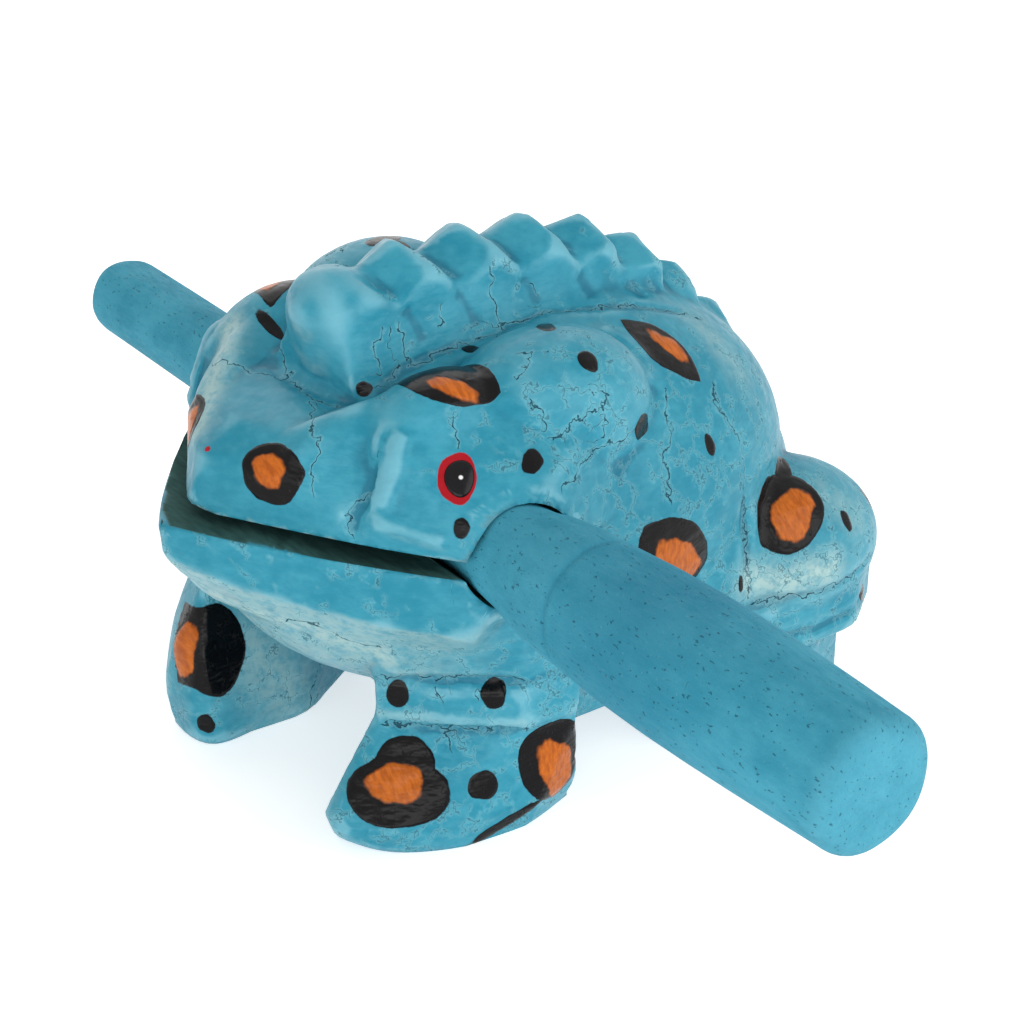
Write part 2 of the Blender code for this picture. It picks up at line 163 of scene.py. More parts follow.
# Ledges: a line of points on the skin, half width and height
PLATE_RIDGE = ((20.4, -8.4, 54.9), (21.4, -10.2, 51.7), (21.7, -11.4, 48.4), (21.5, -12.6, 46.0))
PLATE_LOW = ((20.5, -13.2, 44.9), (22.4, -12.2, 44.4), (25.5, -10.1, 44.0), (28.9, -7.8, 43.4))
SHOULDER_ARC = (
    (12.6, 25.0, 57.0), (14.4, 25.5, 56.3), (15.9, 27.0, 55.2), (17.8, 27.6, 54.0), (19.8, 27.2, 52.8),
    (22.0, 26.0, 51.0),
)
ANKLE_SHELF = ((16.8, -10.3, 16.3), (20.5, -7.0, 16.5), (24.5, -2.5, 16.5), (28.3, 2.9, 15.9))
LEDGES = (
    (PLATE_RIDGE, 1.1, 0.45), (PLATE_LOW, 1.0, 0.4), (SHOULDER_ARC, 1.3, 0.6), (ANKLE_SHELF, 0.8, 0.35),
)

# Long cracks in the paint: how far to its sides one wanders, where it fades out beside its line,
# the share of its length that fades at each end, and the lines
CRACK_WANDER = 0.85
CRACK_BAND = (1.1, 1.9)
CRACK_FADE = 0.08
CRACKS = (
    CREST_BASE,
    ((22.9, -4.3, 15.0), (23.3, -4.8, 12.3)),
    ((21.6, -5.2, 20.6), (22.1, -5.4, 18.6)),
    ((24.5, -1.6, 20.6), (24.9, -2.0, 19.1)),
    ((6.0, 13.8, 64.7), (6.5, 14.1, 61.5), (9.3, 12.7, 57.7)),
    ((6.5, -1.4, 60.8), (7.0, -3.0, 58.9), (7.6, -3.5, 57.3), (9.0, -2.9, 54.4)),
    ((7.2, 0.2, 61.2), (7.6, 0.4, 58.6), (8.4, 1.0, 56.2)),
    ((6.4, 6.6, 61.6), (7.4, 6.0, 59.0)),
    ((6.2, 19.4, 61.0), (7.0, 19.9, 59.6)),
    ((19.6, 7.9, 59.2), (20.6, 9.7, 59.5), (22.2, 6.1, 57.5)),
    ((27.2, 19.6, 49.8), (28.4, 13.4, 49.6), (30.2, 9.2, 48.3), (32.1, 4.9, 47.2)),
    ((20.3, 37.4, 48.6), (22.8, 36.0, 46.6), (24.3, 37.8, 43.3), (26.4, 38.0, 37.2), (26.7, 37.9, 33.2)),
    ((21.4, 28.0, 50.8), (22.9, 28.0, 49.4), (26.1, 25.0, 46.2), (28.3, 23.1, 42.3), (29.5, 23.1, 38.8)),
    ((24.5, 6.2, 55.8), (26.3, 7.0, 53.8), (27.7, 7.0, 51.8)),
    ((27.4, 6.2, 51.9), (27.7, 11.0, 53.2), (27.3, 15.6, 54.3)),
    ((28.4, 13.4, 50.3), (27.3, 15.2, 54.4), (26.2, 13.5, 56.4)),
    ((2.8, -9.4, 52.7), (7.5, -12.5, 52.4), (12.5, -14.7, 52.0), (13.6, -15.9, 49.0), (14.4, -16.9, 45.8)),
    ((18.9, -14.6, 41.9), (18.6, -14.4, 44.6), (19.4, -12.4, 48.0)),
    ((5.2, -22.0, 29.7), (9.3, -19.0, 28.5), (14.3, -16.6, 29.4), (16.1, -13.6, 27.2), (18.7, -10.5, 26.0)),
    ((24.3, -3.7, 52.2), (23.4, -3.3, 53.0), (21.6, -2.6, 54.9)),
    ANKLE_TOP, ANKLE_LOW, SHANK_TOP, HAUNCH_EDGE,
)
RIGHT_SIDE_CRACKS = (SNOUT_VALLEY, ((12.7, -2.5, 3.6), (12.4, -5.4, 1.4)))

# Dabs of paint: middle, long way, half length and half width
BLACK_DOTS = (
    ((8.5, -6.0, 54.6), (0.6, 0.8, 0.0), 1.1, 0.9), ((10.2, 7.8, 56.7), (1.0, 0.3, 0.0), 1.4, 0.8),
    ((29.4, -6.8, 45.3), (0.5, -0.4, -0.7), 1.2, 1.0), ((16.7, 14.4, 60.2), (0.88, -0.45, 0.13), 1.9, 1.1),
    ((24.1, 14.7, 58.3), (0.8, -0.2, -0.6), 1.5, 1.3), ((26.5, 21.2, 49.0), (0.4, -0.2, -0.9), 1.6, 2.2),
    ((29.1, 3.4, 50.5), (0.55, -0.67, -0.5), 1.8, 1.2), ((26.2, 32.1, 43.5), (0.4, 0.1, -0.9), 1.4, 0.9),
    ((28.1, 54.2, 27.4), (0.2, 0.1, -1.0), 1.5, 0.8), ((23.5, 62.2, 26.5), (0.3, 0.4, -0.9), 1.7, 1.0),
    ((26.4, 59.9, 13.7), (0.1, 0.3, -0.9), 1.5, 0.9), ((28.0, 36.8, 23.5), (0.0, 0.0, 1.0), 1.2, 0.5),
    ((18.6, -8.9, 19.3), (0.0, 0.0, 1.0), 1.8, 1.4), ((26.1, -0.3, 19.8), (0.2, 0.0, 1.0), 1.9, 1.5),
    ((27.0, -2.3, 8.4), (0.5, 0.8, 0.3), 1.9, 1.9), ((21.2, 49.0, 33.3), (0.77, -0.63, -0.14), 2.9, 1.3),
    ((27.5, 0.1, 2.0), (0.18, 0.91, 0.37), 5.4, 0.9),
)
BLACK_BLOBS = (
    ((9.3, -19.4, 48.0), (0.9, 0.4, 0.0), 4.1, 3.5), ((25.9, 45.9, 30.4), (0.37, -0.81, -0.45), 5.8, 4.7),
    ((29.9, 24.2, 32.4), (-0.11, 0.75, -0.65), 7.3, 4.4),
    ((21.5, -11.0, 7.6), (-0.64, -0.76, 0.0), 6.3, 4.3),
    ((21.9, -10.4, 11.9), (-0.64, -0.76, 0.0), 3.6, 3.2),
    ((28.3, 7.6, 8.7), (-0.06, 0.36, -0.93), 5.9, 5.0),
)
BLACK_LENSES = (
    ((16.9, -0.3, 57.7), (0.76, 0.64, -0.08), 6.7, 5.0),
    ((16.8, 32.2, 53.1), (0.68, 0.47, -0.55), 6.3, 3.4),
)
RIGHT_LENSES = (
    ((19.4, -0.8, 57.7), (0.74, 0.64, -0.21), 5.8, 2.7),
    ((16.8, 32.2, 53.1), (0.68, 0.47, -0.55), 6.1, 2.9),
)
ORANGE_FIELDS = (
    ((8.9, -19.5, 48.0), (0.9, 0.4, 0.0), 2.2, 1.9), ((19.7, -0.9, 57.5), (0.74, 0.64, -0.21), 2.9, 1.3),
    ((16.5, 33.3, 53.0), (0.68, 0.47, -0.55), 2.8, 1.3),
    ((26.5, 46.5, 30.1), (0.37, -0.81, -0.45), 3.9, 2.7),
    ((29.6, 25.0, 31.2), (-0.11, 0.75, -0.65), 5.0, 2.6),
    ((21.3, -11.2, 8.9), (-0.64, -0.76, 0.0), 3.5, 2.3), ((28.1, 8.1, 7.5), (-0.06, 0.36, -0.93), 4.6, 2.5),
)
RIGHT_LEG_BLACK = (
    ((14.2, -16.8, 12.8), (0.0, 0.1, 1.0), 6.1, 4.4), ((12.9, -17.4, 3.9), (0.0, 0.0, 1.0), 1.5, 1.2),
    ((12.8, -6.0, 55.6), (1.0, -0.2, 0.6), 2.6, 0.9), ((19.0, 15.0, 60.2), (0.3, 0.9, 0.0), 3.2, 1.6),
)
RIGHT_LEG_ORANGE = (((15.0, -17.6, 12.6), (0.0, 0.1, 1.0), 3.7, 2.3),)
FRONT_LEG_TOP = 12

# Eyes: middle, long way, then the red ring's outer and the black dab's half length and half width
EYE_PLACE = (26.2, -5.2, 49.9)
EYE_LONG_WAY = (0.52, -0.46, -0.71)
RING_HALF_LENGTH = 3.1
RING_HALF_WIDTH = 2.25
PUPIL_HALF_LENGTH = 2.2
PUPIL_HALF_WIDTH = 1.7
PUPIL_RISE = 0.35
PUPIL_ASIDE = 0.25
PUPIL_SKIRT = 0.4
PUPIL_CLEAR = 0.02
PUPIL_CENTRE_RISE = 0.003
PUPIL_RINGS = 14
PUPIL_TURNS = 48
SKIN_REACH = 3.0
# The painted highlight on the black dab: how far aside of its middle, its radius and its soft edge
GLINT_ASIDE = 0.1
GLINT_RADIUS = 0.24
GLINT_SOFT = 0.08
RED_SPECK = ((0.4, -22.5, 48.3), (1.0, 0.0, 0.0), 0.45, 0.4)

# Places where the paint is paler, partly worn pale and partly painted light: a line of points on the skin,
# half width and strength
PALE_WEAR_AND_LIGHT_PLACES = (
    # The band under the jaw is partly pale paint, partly painted bounce light from below
    (((2.2, -23.6, 30.2), (11.4, -17.6, 28.4), (18.3, -10.3, 25.0)), 3.0, 0.8),
    (((28.0, 38.6, 23.5), (29.3, 43.0, 22.3), (30.2, 49.8, 22.6)), 2.6, 0.95),
    (((25.5, 52.0, 31.0), (27.5, 56.0, 27.0)), 3.0, 0.4),
    (((16.8, -10.3, 16.3), (20.5, -7.0, 16.5), (28.3, 2.9, 15.9)), 0.6, 0.5),
    (((12.0, 42.0, 51.5), (18.0, 44.0, 48.0)), 3.0, 0.35),
)
# The right side's own: a painted sheen along the snout's right edge, and painted light on the right front
# leg, which stands in shade
RIGHT_PAINTED_LIGHT_PLACES = (
    (((16.5, -9.0, 54.6), (12.5, -12.5, 53.4), (8.0, -17.4, 50.6), (5.0, -20.6, 48.4)), 2.2, 0.8),
    (((12.0, -12.0, 12.0), (11.6, -7.0, 4.0)), 5.0, 0.6),
)

# Finishes: crazing in cells to the millimetre, widths and heights in millimetres, roughness and gloss
CELLS_IN_MM = 0.27
CELL_CRACK_WIDTH = 0.055
LONG_CRACK_WIDTHS = (0.015, 0.11)
LONG_CRACK_DEPTH = 0.16
STROKE_HEIGHT = 0.22
BLACK_HEIGHT = 0.1
ORANGE_HEIGHT = 0.08
PAINT_ROUGHNESS = (0.3, 0.44)
BLACK_ROUGHNESS = 0.24
DRY_ROUGHNESS = 0.85
PAINT_GLOSS = 0.17
STAIN_CELLS_IN_MM = 0.2
STAIN_CRACK_WIDTH = 0.05
STAIN_CRACKED_SHARE = 0.12
GRAIN_HEIGHT = 0.08
PIT_DEPTH = 0.12
FUZZ_HEIGHT = 0.06
STAIN_ROUGHNESS = (0.6, 0.82)
ENAMEL_ROUGHNESS = (0.14, 0.26)
STAIN_AND_ENAMEL_GLOSS = 0.2

# Colours as a screen shows them, from 0 to 255
PAINT_DARK = (40, 138, 162)
PAINT_LIGHT = (64, 156, 178)
# Paler paint on standing edges: partly wear, partly a painted highlight
PAINT_EDGE_WEAR_AND_HIGHLIGHT = (128, 192, 208)
# Painted shade in the hollows
PAINT_SHADE_IN_HOLLOWS = (22, 98, 124)
# Pale paint where worn, also used as painted light and painted sheen
PAINT_WORN_AND_LIT = (178, 206, 202)
CRACK_EDGE = (140, 202, 212)
CRACK_LINE = (14, 62, 78)
WOOD_DARK = (18, 46, 46)
WOOD_LIGHT = (64, 106, 101)
RING_RED = (168, 18, 30)
DAB_BLACK = (6, 4, 6)
DAB_BLACK_DRY = (48, 42, 46)
DAB_ORANGE = (212, 112, 34)
DAB_ORANGE_DEEP = (176, 86, 24)
STAIN_DARK = (50, 143, 168)
STAIN_LIGHT = (70, 161, 185)
# Darker band about the handle's middle, also used as painted shade in the scored ring
STAIN_DEEP = (40, 126, 154)
STAIN_WORN = (100, 166, 184)
STAIN_PIT = (16, 70, 98)
STAIN_MOTE = (120, 180, 196)
STAIN_HAIR = (18, 62, 84)
ENAMEL_DARK = (4, 4, 6)
ENAMEL_LIGHT = (18, 16, 20)
# Painted highlight on the eyes' black dabs
GLINT_HIGHLIGHT_WHITE = (240, 240, 240)

# Light: the sky's and the floor's brightness, then each lamp's name, place, size and power in watts
SKY_LIGHT = 0.44
FLOOR_GLOW = 0.6
FLOOR_BOUNCE = 0.3
FLOOR_HALF = 3.0
FROG_MIDDLE = (0, 10, 30)
LAMPS = (
    ("side_lamp", (420.0, 220.0, 260.0), 0.5, 1.2),
    ("low_side_lamp", (360.0, -250.0, 75.0), 0.4, 0.9),
    ("low_front_lamp", (120.0, -460.0, 50.0), 0.4, 0.4),
    ("far_lamp", (-300.0, 100.0, 260.0), 0.5, 0.6),
)


def on_frog(points):
    """Layout points, in millimetres, as places in the scene."""
    return np.array(points, dtype=float) * MM + LAYOUT_ORIGIN


def put(name, mesh):
    """A new object that holds a mesh, in the scene."""
    piece = bpy.data.objects.new(name, mesh)
    bpy.context.scene.collection.objects.link(piece)
    return piece


def read_places(mesh):
    """A mesh's vertices as layout points."""
    places = np.zeros(len(mesh.vertices) * 3)
    mesh.vertices.foreach_get("co", places)
    return (places.reshape(-1, 3) - LAYOUT_ORIGIN) / MM


def read_rows(items, name, width):
    """A whole number property of many items, such as the vertices of triangles, as rows."""
    rows = np.zeros(len(items) * width, dtype=np.int64)
    items.foreach_get(name, rows)
    return rows.reshape(-1, width)


def corner_sums(rows, values, count):
    """Adds each row's value to all the vertices that the row names."""
    total = np.zeros((count, values.shape[1]))
    for axis in range(values.shape[1]):
        for corner in range(rows.shape[1]):
            total[:, axis] += np.bincount(rows[:, corner], values[:, axis], count)
    return total


def lengthened(rows):
    """Each row's direction, one long."""
    return rows / np.maximum(np.linalg.norm(rows, axis=1, keepdims=True), 1e-9)


def face_directions(places, triangles):
    """Each triangle's normal, as long as twice its area."""
    first, second, third = (places[triangles[:, corner]] for corner in range(3))
    return np.cross(second - first, third - first)


def outward_directions(places, triangles):
    """The direction out of the skin at each vertex: the sum of its triangles' normals, made one long."""
    return lengthened(corner_sums(triangles, face_directions(places, triangles), len(places)))


def edge_turns(places, triangles, edges):
    """How far the skin turns at each edge, in degrees: the angle between its two triangles' normals."""
    count = len(places)
    sides = np.concatenate([triangles[:, [0, 1]], triangles[:, [1, 2]], triangles[:, [2, 0]]])
    owner = np.tile(np.arange(len(triangles)), 3)
    keys = np.sort(sides, axis=1) @ np.array([count, 1])
    order = np.argsort(keys, kind="stable")
    pairs = owner[order].reshape(-1, 2)
    wanted = np.searchsorted(keys[order][::2], np.sort(edges, axis=1) @ np.array([count, 1]))
    normals = lengthened(face_directions(places, triangles))
    likeness = np.sum(normals[pairs[wanted, 0]] * normals[pairs[wanted, 1]], axis=1)
    return np.degrees(np.arccos(np.clip(likeness, -1, 1)))


def neighbour_means(places, edges):
    """The mean of the places that edges join to each vertex, and how many edges it has."""
    count = np.bincount(edges.ravel(), minlength=len(places))[:, None]
    total = np.zeros_like(places)
    for axis in range(3):
        total[:, axis] = np.bincount(edges[:, 0], places[edges[:, 1], axis], len(places))
        total[:, axis] += np.bincount(edges[:, 1], places[edges[:, 0], axis], len(places))
    return total / np.maximum(count, 1), count[:, 0]


def melted(places, edges, rounds, held, back=0.52):
    """Every vertex goes half of the way to the mean of its neighbours, then about as far back
    from the new mean, so that the facets melt and the shape keeps its size. Held vertices stay."""
    for _ in range(rounds):
        for share in (0.5, -back):
            middle, _count = neighbour_means(places, edges)
            places = places + (share * ~held)[:, None] * (middle - places)
    return places


def creases_straightened(places, edges, rounds):
    """Vertices that a crease runs through go part of the way to the mean of their two crease neighbours."""
    for _ in range(rounds):
        middle, count = neighbour_means(places, edges)
        places = places + (0.4 * (count == 2))[:, None] * (middle - places)
    return places


def near_line(places, line):
    """How far each place is from a line of straight runs, how far along it the nearest point is,
    from 0 to 1, and the step from that point and the run's own direction."""
    points = np.array(line, dtype=float)
    runs = np.linalg.norm(np.diff(points, axis=0), axis=1)
    starts = np.concatenate([[0.0], np.cumsum(runs)[:-1]])
    gap = np.full(len(places), FAR)
    along = np.zeros(len(places))
    away = np.zeros_like(places)
    heading = np.zeros_like(places)
    for start, end, run, begin in zip(points[:-1], points[1:], runs, starts):
        step = (end - start) / run
        walked = np.clip((places - start) @ step, 0, run)
        offset = places - start - walked[:, None] * step
        distance = np.linalg.norm(offset, axis=1)
        closer = distance < gap
        gap = np.where(closer, distance, gap)
        along = np.where(closer, (begin + walked) / runs.sum(), along)
        away[closer] = offset[closer]
        heading[closer] = step
    return gap, along, away, heading


def eased(values, low, high):
    """Zero below low, one above high, and a smooth step between."""
    share = np.clip((values - low) / (high - low), 0, 1)
    return share * share * (3 - 2 * share)


def ends_faded(along, share):
    """One over the middle of a line, and a smooth fall to zero over a share of its length at both ends."""
    return eased(along, 0, share) * eased(1 - along, 0, share)


def bell(places, line, half_width):
    """A rounded welt along a line: it falls off as a bell over the half width, and fades at both ends."""
    gap, along, _away, _heading = near_line(places, line)
    return np.exp(-((gap / half_width) ** 2)) * ends_faded(along, FURROW_FADE)


def other_side(point, wander):
    """A point's place on the frog's right side. The carver's second side never repeats the first,
    so it wanders along y and z on slow waves."""
    x, y, z = point
    return (-x, y + wander * math.sin(0.31 * z + 0.13 * y), z + wander * math.sin(0.17 * y + 1.0))


def mirrored_line(line, wander=0.0):
    """A line's twin on the frog's right side."""
    return tuple(other_side(point, wander) for point in line)


def on_both_sides(lines, wander=0.0):
    """The lines and their twins on the frog's right side."""
    return list(lines) + [mirrored_line(line, wander) for line in lines]


def banded_on_both_sides(rows, wander=0.0):
    """The same for lines with a half width and a depth, height or strength."""
    return list(rows) + [(mirrored_line(line, wander), wide, much) for line, wide, much in rows]


def laid_on(line, places):
    """A line whose points are moved to the nearest vertices of the skin."""
    return [places[np.argmin(np.sum((places - np.array(point)) ** 2, axis=1))] for point in line]


def turned_rows(triangles, middles, turn):
    """The corners and side middles of each triangle, read from another corner on."""
    order = (np.arange(3)[None, :] + turn[:, None]) % 3
    return np.take_along_axis(triangles, order, 1), np.take_along_axis(middles, order, 1)


def mouth_floor(y):
    """Height of the lower lip's top: it rises from the hole to the lips."""
    return MOUTH_TOP - MOUTH_GAP - (MOUTH_GAP - MOUTH_LIP_GAP) * y / MOUTH_REACH


def inside_share(places, margin=0.25):
    """Whether each place is on a wall of the cross hole, on the mouth's floor or roof or on a sole,
    and not on the outer skin."""
    _x, y, z = places.T
    from_axis = np.hypot(y, z - HOLE_HEIGHT)
    hole = from_axis < HOLE_RADIUS + margin
    mouth = (y < 0) & (z > mouth_floor(y) - margin) & (z < MOUTH_TOP + margin)
    return hole | mouth | (z < margin)


def painted_spots():
    """The black dots, the black blobs, the pointed ones and the orange fields of both sides.
    The right side repeats the left one's, each a little moved, and has a few of its own."""
    def turned(spots, wander, share=1.0):
        """Spots of the left side, moved to the right one and made a little shorter."""
        return [(other_side(middle, wander), (-way[0], way[1], way[2]), share * long, wide)
                for middle, way, long, wide in spots]

    def off_the_leg(spots):
        """The spots that are not on the front leg."""
        return [spot for spot in spots if spot[0][2] > FRONT_LEG_TOP or spot[0][1] > 0]

    own = turned(RIGHT_LEG_BLACK, 0.0)
    dots = list(BLACK_DOTS) + turned(BLACK_DOTS[2:12], 1.2, 0.95) + own[1:]
    blobs = list(BLACK_BLOBS) + turned(off_the_leg(BLACK_BLOBS), RIGHT_SIDE_WANDER, 0.93) + own[:1]
    lenses = list(BLACK_LENSES) + turned(RIGHT_LENSES, 0.5)
    oranges = list(ORANGE_FIELDS) + turned(off_the_leg(ORANGE_FIELDS), RIGHT_SIDE_WANDER)
    return dots, blobs, lenses, oranges + turned(RIGHT_LEG_ORANGE, 0.0)


def eye_rings():
    """The red rings as spots."""
    return [(place, way, RING_HALF_LENGTH, RING_HALF_WIDTH) for place, way in eye_places()]


def near_spots(places):
    """Whether each place is on a spot or close to its edge."""
    near = np.zeros(len(places), dtype=bool)
    dots, blobs, lenses, _oranges = painted_spots()
    for middle, _way, half_length, _half_width in dots + blobs + lenses + eye_rings() + [RED_SPECK]:
        near |= np.sum((places - np.array(middle)) ** 2, axis=1) < (half_length + SPOT_SURROUND) ** 2
    return near


def halved(places, triangles, longest):
    """Splits every side longer than the longest at its middle, and the triangles on it into two,
    three or four. Sides inside the hole and the mouth and under the soles may be longer.
    Gives the new places and triangles, and whether anything was split."""
    count = len(places)
    sides = np.stack([triangles, np.roll(triangles, -1, axis=1)], axis=2)
    keys = np.sort(sides, axis=2) @ np.array([count, 1])
    known, place_of = np.unique(keys, return_inverse=True)
    place_of = place_of.reshape(keys.shape)
    first, second = known // count, known % count
    halfway = (places[first] + places[second]) / 2
    allowed = np.where(inside_share(halfway), INSIDE_COARSER, 1.0) * longest
    allowed[near_spots(halfway)] = SPOT_EDGE
    is_long = np.linalg.norm(places[first] - places[second], axis=1) > allowed
    if not is_long.any():
        return places, triangles, False
    number = np.full(len(known), -1)
    number[is_long] = count + np.arange(is_long.sum())
    places = np.concatenate([places, halfway[is_long]])
    middles = number[place_of]
    long_sides = middles >= 0
    tally = long_sides.sum(axis=1)
    made = [triangles[tally == 0]]

    one = tally == 1
    (a, b, c), (ab, _bc, _ca) = (rows.T for rows in turned_rows(
        triangles[one], middles[one], np.argmax(long_sides[one], axis=1)))
    made += [np.stack([a, ab, c], 1), np.stack([ab, b, c], 1)]

    two = tally == 2
    (a, b, c), (ab, bc, _ca) = (rows.T for rows in turned_rows(
        triangles[two], middles[two], (np.argmin(long_sides[two], axis=1) + 1) % 3))
    from_a = np.linalg.norm(places[a] - places[bc], axis=1)
    shorter = (from_a < np.linalg.norm(places[ab] - places[c], axis=1))[:, None]
    made += [np.stack([ab, b, bc], 1)]
    made += [np.where(shorter, np.stack([a, ab, bc], 1), np.stack([a, ab, c], 1))]
    made += [np.where(shorter, np.stack([a, bc, c], 1), np.stack([ab, bc, c], 1))]

    three = tally == 3
    (a, b, c), (ab, bc, ca) = triangles[three].T, middles[three].T
    made += [np.stack(rows, 1) for rows in ((a, ab, ca), (ab, b, bc), (ca, bc, c), (ab, bc, ca))]
    return places, np.concatenate(made), True


def fine_triangles(node, longest):
    """A CAD node's loose triangles, merged where their corners are the same, with every side
    longer than the longest halved, again and again. Gives layout places and triangles."""
    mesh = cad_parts[node].data
    places = read_places(mesh)
    triangles = read_rows(mesh.polygons, "vertices", 3)
    _same, kept, place_of = np.unique(np.round(places, 3), axis=0, return_index=True, return_inverse=True)
    places, triangles = places[kept], place_of.reshape(-1)[triangles]
    whole = (triangles[:, 0] != triangles[:, 1]) & (triangles[:, 1] != triangles[:, 2])
    triangles = triangles[whole & (triangles[:, 2] != triangles[:, 0])]
    busy = True
    while busy:
        places, triangles, busy = halved(places, triangles, longest)
    return places, triangles


def new_mesh(name, places, faces):
    """A mesh from layout places and rows of vertex numbers."""
    mesh = bpy.data.meshes.new(name)
    mesh.vertices.add(len(places))
    mesh.loops.add(faces.size)
    mesh.polygons.add(len(faces))
    mesh.loops.foreach_set("vertex_index", faces.ravel().astype(np.int32))
    mesh.polygons.foreach_set("loop_start", np.arange(0, faces.size, faces.shape[1], dtype=np.int32))
    mesh.vertices.foreach_set("co", on_frog(places).ravel())
    mesh.polygons.foreach_set("use_smooth", np.ones(len(faces), dtype=bool))
    mesh.update(calc_edges=True)
    mesh.validate()
    return mesh


def add_field(mesh, name, values):
    """Stores a number for each vertex, for the materials to read."""
    stored = mesh.attributes.new(name, "FLOAT", "POINT")
    stored.data.foreach_set("value", values.astype(np.float32))


def spot_field(places, outward, spots, pointed=False, ragged=0.0):
    """How far each place lies outside the nearest spot's outline, and below zero within it.
    A round spot is an ellipse, whose radius swells and shrinks a little round its middle.
    A pointed one lies between two parabolas that meet at its ends."""
    outside = np.full(len(places), OUT_OF_REACH)
    for number, (middle, long_way, half_length, half_width) in enumerate(spots):
        nearest = np.argmin(np.sum((places - np.array(middle)) ** 2, axis=1))
        normal = outward[nearest]
        length_way = np.array(long_way, dtype=float)
        length_way -= normal * (length_way @ normal)
        length_way /= np.linalg.norm(length_way)
        width_way = np.cross(normal, length_way)
        offset = places - places[nearest]
        along, across, deep = offset @ length_way, offset @ width_way, offset @ normal
        turn = np.arctan2(across / half_width, along / half_length)
        lobes = 1 + ragged * (np.sin(3 * turn + 1.7 * number) + 0.7 * np.sin(5 * turn + 2.9 * number))
        if pointed:
            share = along / half_length
            shape = np.abs(across) - half_width * (1 - share**2) * lobes
        else:
            reach = np.hypot(along / half_length, across / half_width)
            shape = (reach / lobes - 1) * min(half_length, half_width)
        shape = np.where(np.abs(deep) < 0.8 * half_length + 1.0, shape, OUT_OF_REACH)
        outside = np.minimum(outside, shape)
    return outside


def crack_fields(places, outward, lines):
    """The distance to the nearest crack across the skin, with its side as its sign, and how much
    of a crack is there: one near its line and zero away from it and at its ends."""
    nearest = np.full(len(places), FAR)
    side = np.full(len(places), OUT_OF_REACH)
    strength = np.zeros(len(places))
    for line in lines:
        gap, along, away, heading = near_line(places, laid_on(line, places))
        across = lengthened(np.cross(heading, outward))
        signed = np.sum(away * across, axis=1)
        closer = gap < nearest
        nearest = np.where(closer, gap, nearest)
        side = np.where(closer, signed, side)
        shown = (1 - eased(gap, *CRACK_BAND)) * ends_faded(along, CRACK_FADE)
        strength = np.where(closer, shown, strength)
    return side, strength


def strongest(places, rows):
    """The strongest of the soft bands along the rows' lines."""
    total = np.zeros(len(places))
    for line, half_width, strength in rows:
        gap, _along, _away, _heading = near_line(places, line)
        total = np.maximum(total, strength * np.exp(-((gap / half_width) ** 2)))
    return total


def bulge(places, edges, outward):
    """How far each vertex stands out of its surroundings: the step from the mean of its neighbours,
    spread over a few rings, along the direction out of the skin."""
    spread = places
    for _ in range(BULGE_ROUNDS):
        middle, _count = neighbour_means(spread, edges)
        spread = 0.5 * spread + 0.5 * middle
    return np.sum((places - spread) * outward, axis=1)


def crazing_share(places, outward):
    """How densely the paint is crazed: least on the snout and the teeth, most on flanks and legs."""
    x, y, z = places.T
    snout = (1 - eased(y, -14, -4)) * eased(z, 40, 44)
    teeth = eased(z, 58.5, 61.5) * eased(-outward[:, 1], -0.1, 0.4)
    flank = eased(np.abs(x), 16, 24) * eased(y, 0, 12)
    low = 1 - eased(z, 24, 30)
    return np.clip(0.5 + 0.35 * flank + 0.25 * low - 0.35 * snout - 0.45 * teeth, 0.05, 1.0)


def bare_share(places, triangles):
    """One on the bare wood in the hole and the mouth, zero on the painted skin, and a half on the edge
    between: each vertex by its triangles. A bare one lies near a cut's wall and faces into the cut."""
    middles = places[triangles].mean(axis=1)
    faces = lengthened(face_directions(places, triangles))
    y, z = middles[:, 1], middles[:, 2]
    from_axis = np.hypot(y, z - HOLE_HEIGHT)
    inward = -(faces[:, 1] * y + faces[:, 2] * (z - HOLE_HEIGHT)) / np.maximum(from_axis, 1e-6)
    hole = (from_axis < HOLE_RADIUS + 0.35) & (inward > 0.5)
    mouth = (y < 0) & (z > mouth_floor(y) - 0.5) & (z < MOUTH_TOP + 0.5) & (np.abs(faces[:, 2]) > 0.75)
    bare = hole | mouth
    total = corner_sums(triangles, bare[:, None].astype(float), len(places))[:, 0]
    count = corner_sums(triangles, np.ones((len(triangles), 1)), len(places))[:, 0]
    share = total / np.maximum(count, 1)
    return np.where((share > 0) & (share < 1), 0.5, share)


def right_foot_shaped(places):
    """The right front foot is cut fuller in front and narrower behind: its inner side moves in
    before the ankle and out behind it, and its toe moves forward, all fading out up the leg."""
    x, y, z = places.T
    leg = (1 - eased(x, -9.5, -6)) * (1 - eased(z, 12, 23)) * (1 - eased(y, 14, 20))
    inner = eased(x, -25, -13)
    aside = RIGHT_INNER_IN * (1 - eased(y, -6, 1)) - RIGHT_INNER_OUT * eased(y, -3, 9)
    forward = RIGHT_TOE_FORWARD * (1 - eased(y, -17, -7))
    return places + np.stack([leg * inner * aside, -leg * forward, np.zeros_like(x)], axis=1)


def carved_depth(places):
    """How far the furrows and seams cut into the skin, below zero, and how far the ledges rise from it."""
    depth = np.zeros(len(places))
    for line, half_width, deep in banded_on_both_sides(FURROWS, FURROW_WANDER):
        depth -= deep * bell(places, line, half_width)
    for line in on_both_sides(PETAL_SEAMS):
        depth -= PETAL_SEAM_DEPTH * bell(places, line, PETAL_SEAM_HALF_WIDTH)
    for line, half_width, high in banded_on_both_sides(LEDGES, FURROW_WANDER):
        depth += high * bell(places, line, half_width)
    return depth - SNOUT_VALLEY_DEPTH * bell(places, SNOUT_VALLEY, SNOUT_VALLEY_HALF_WIDTH)


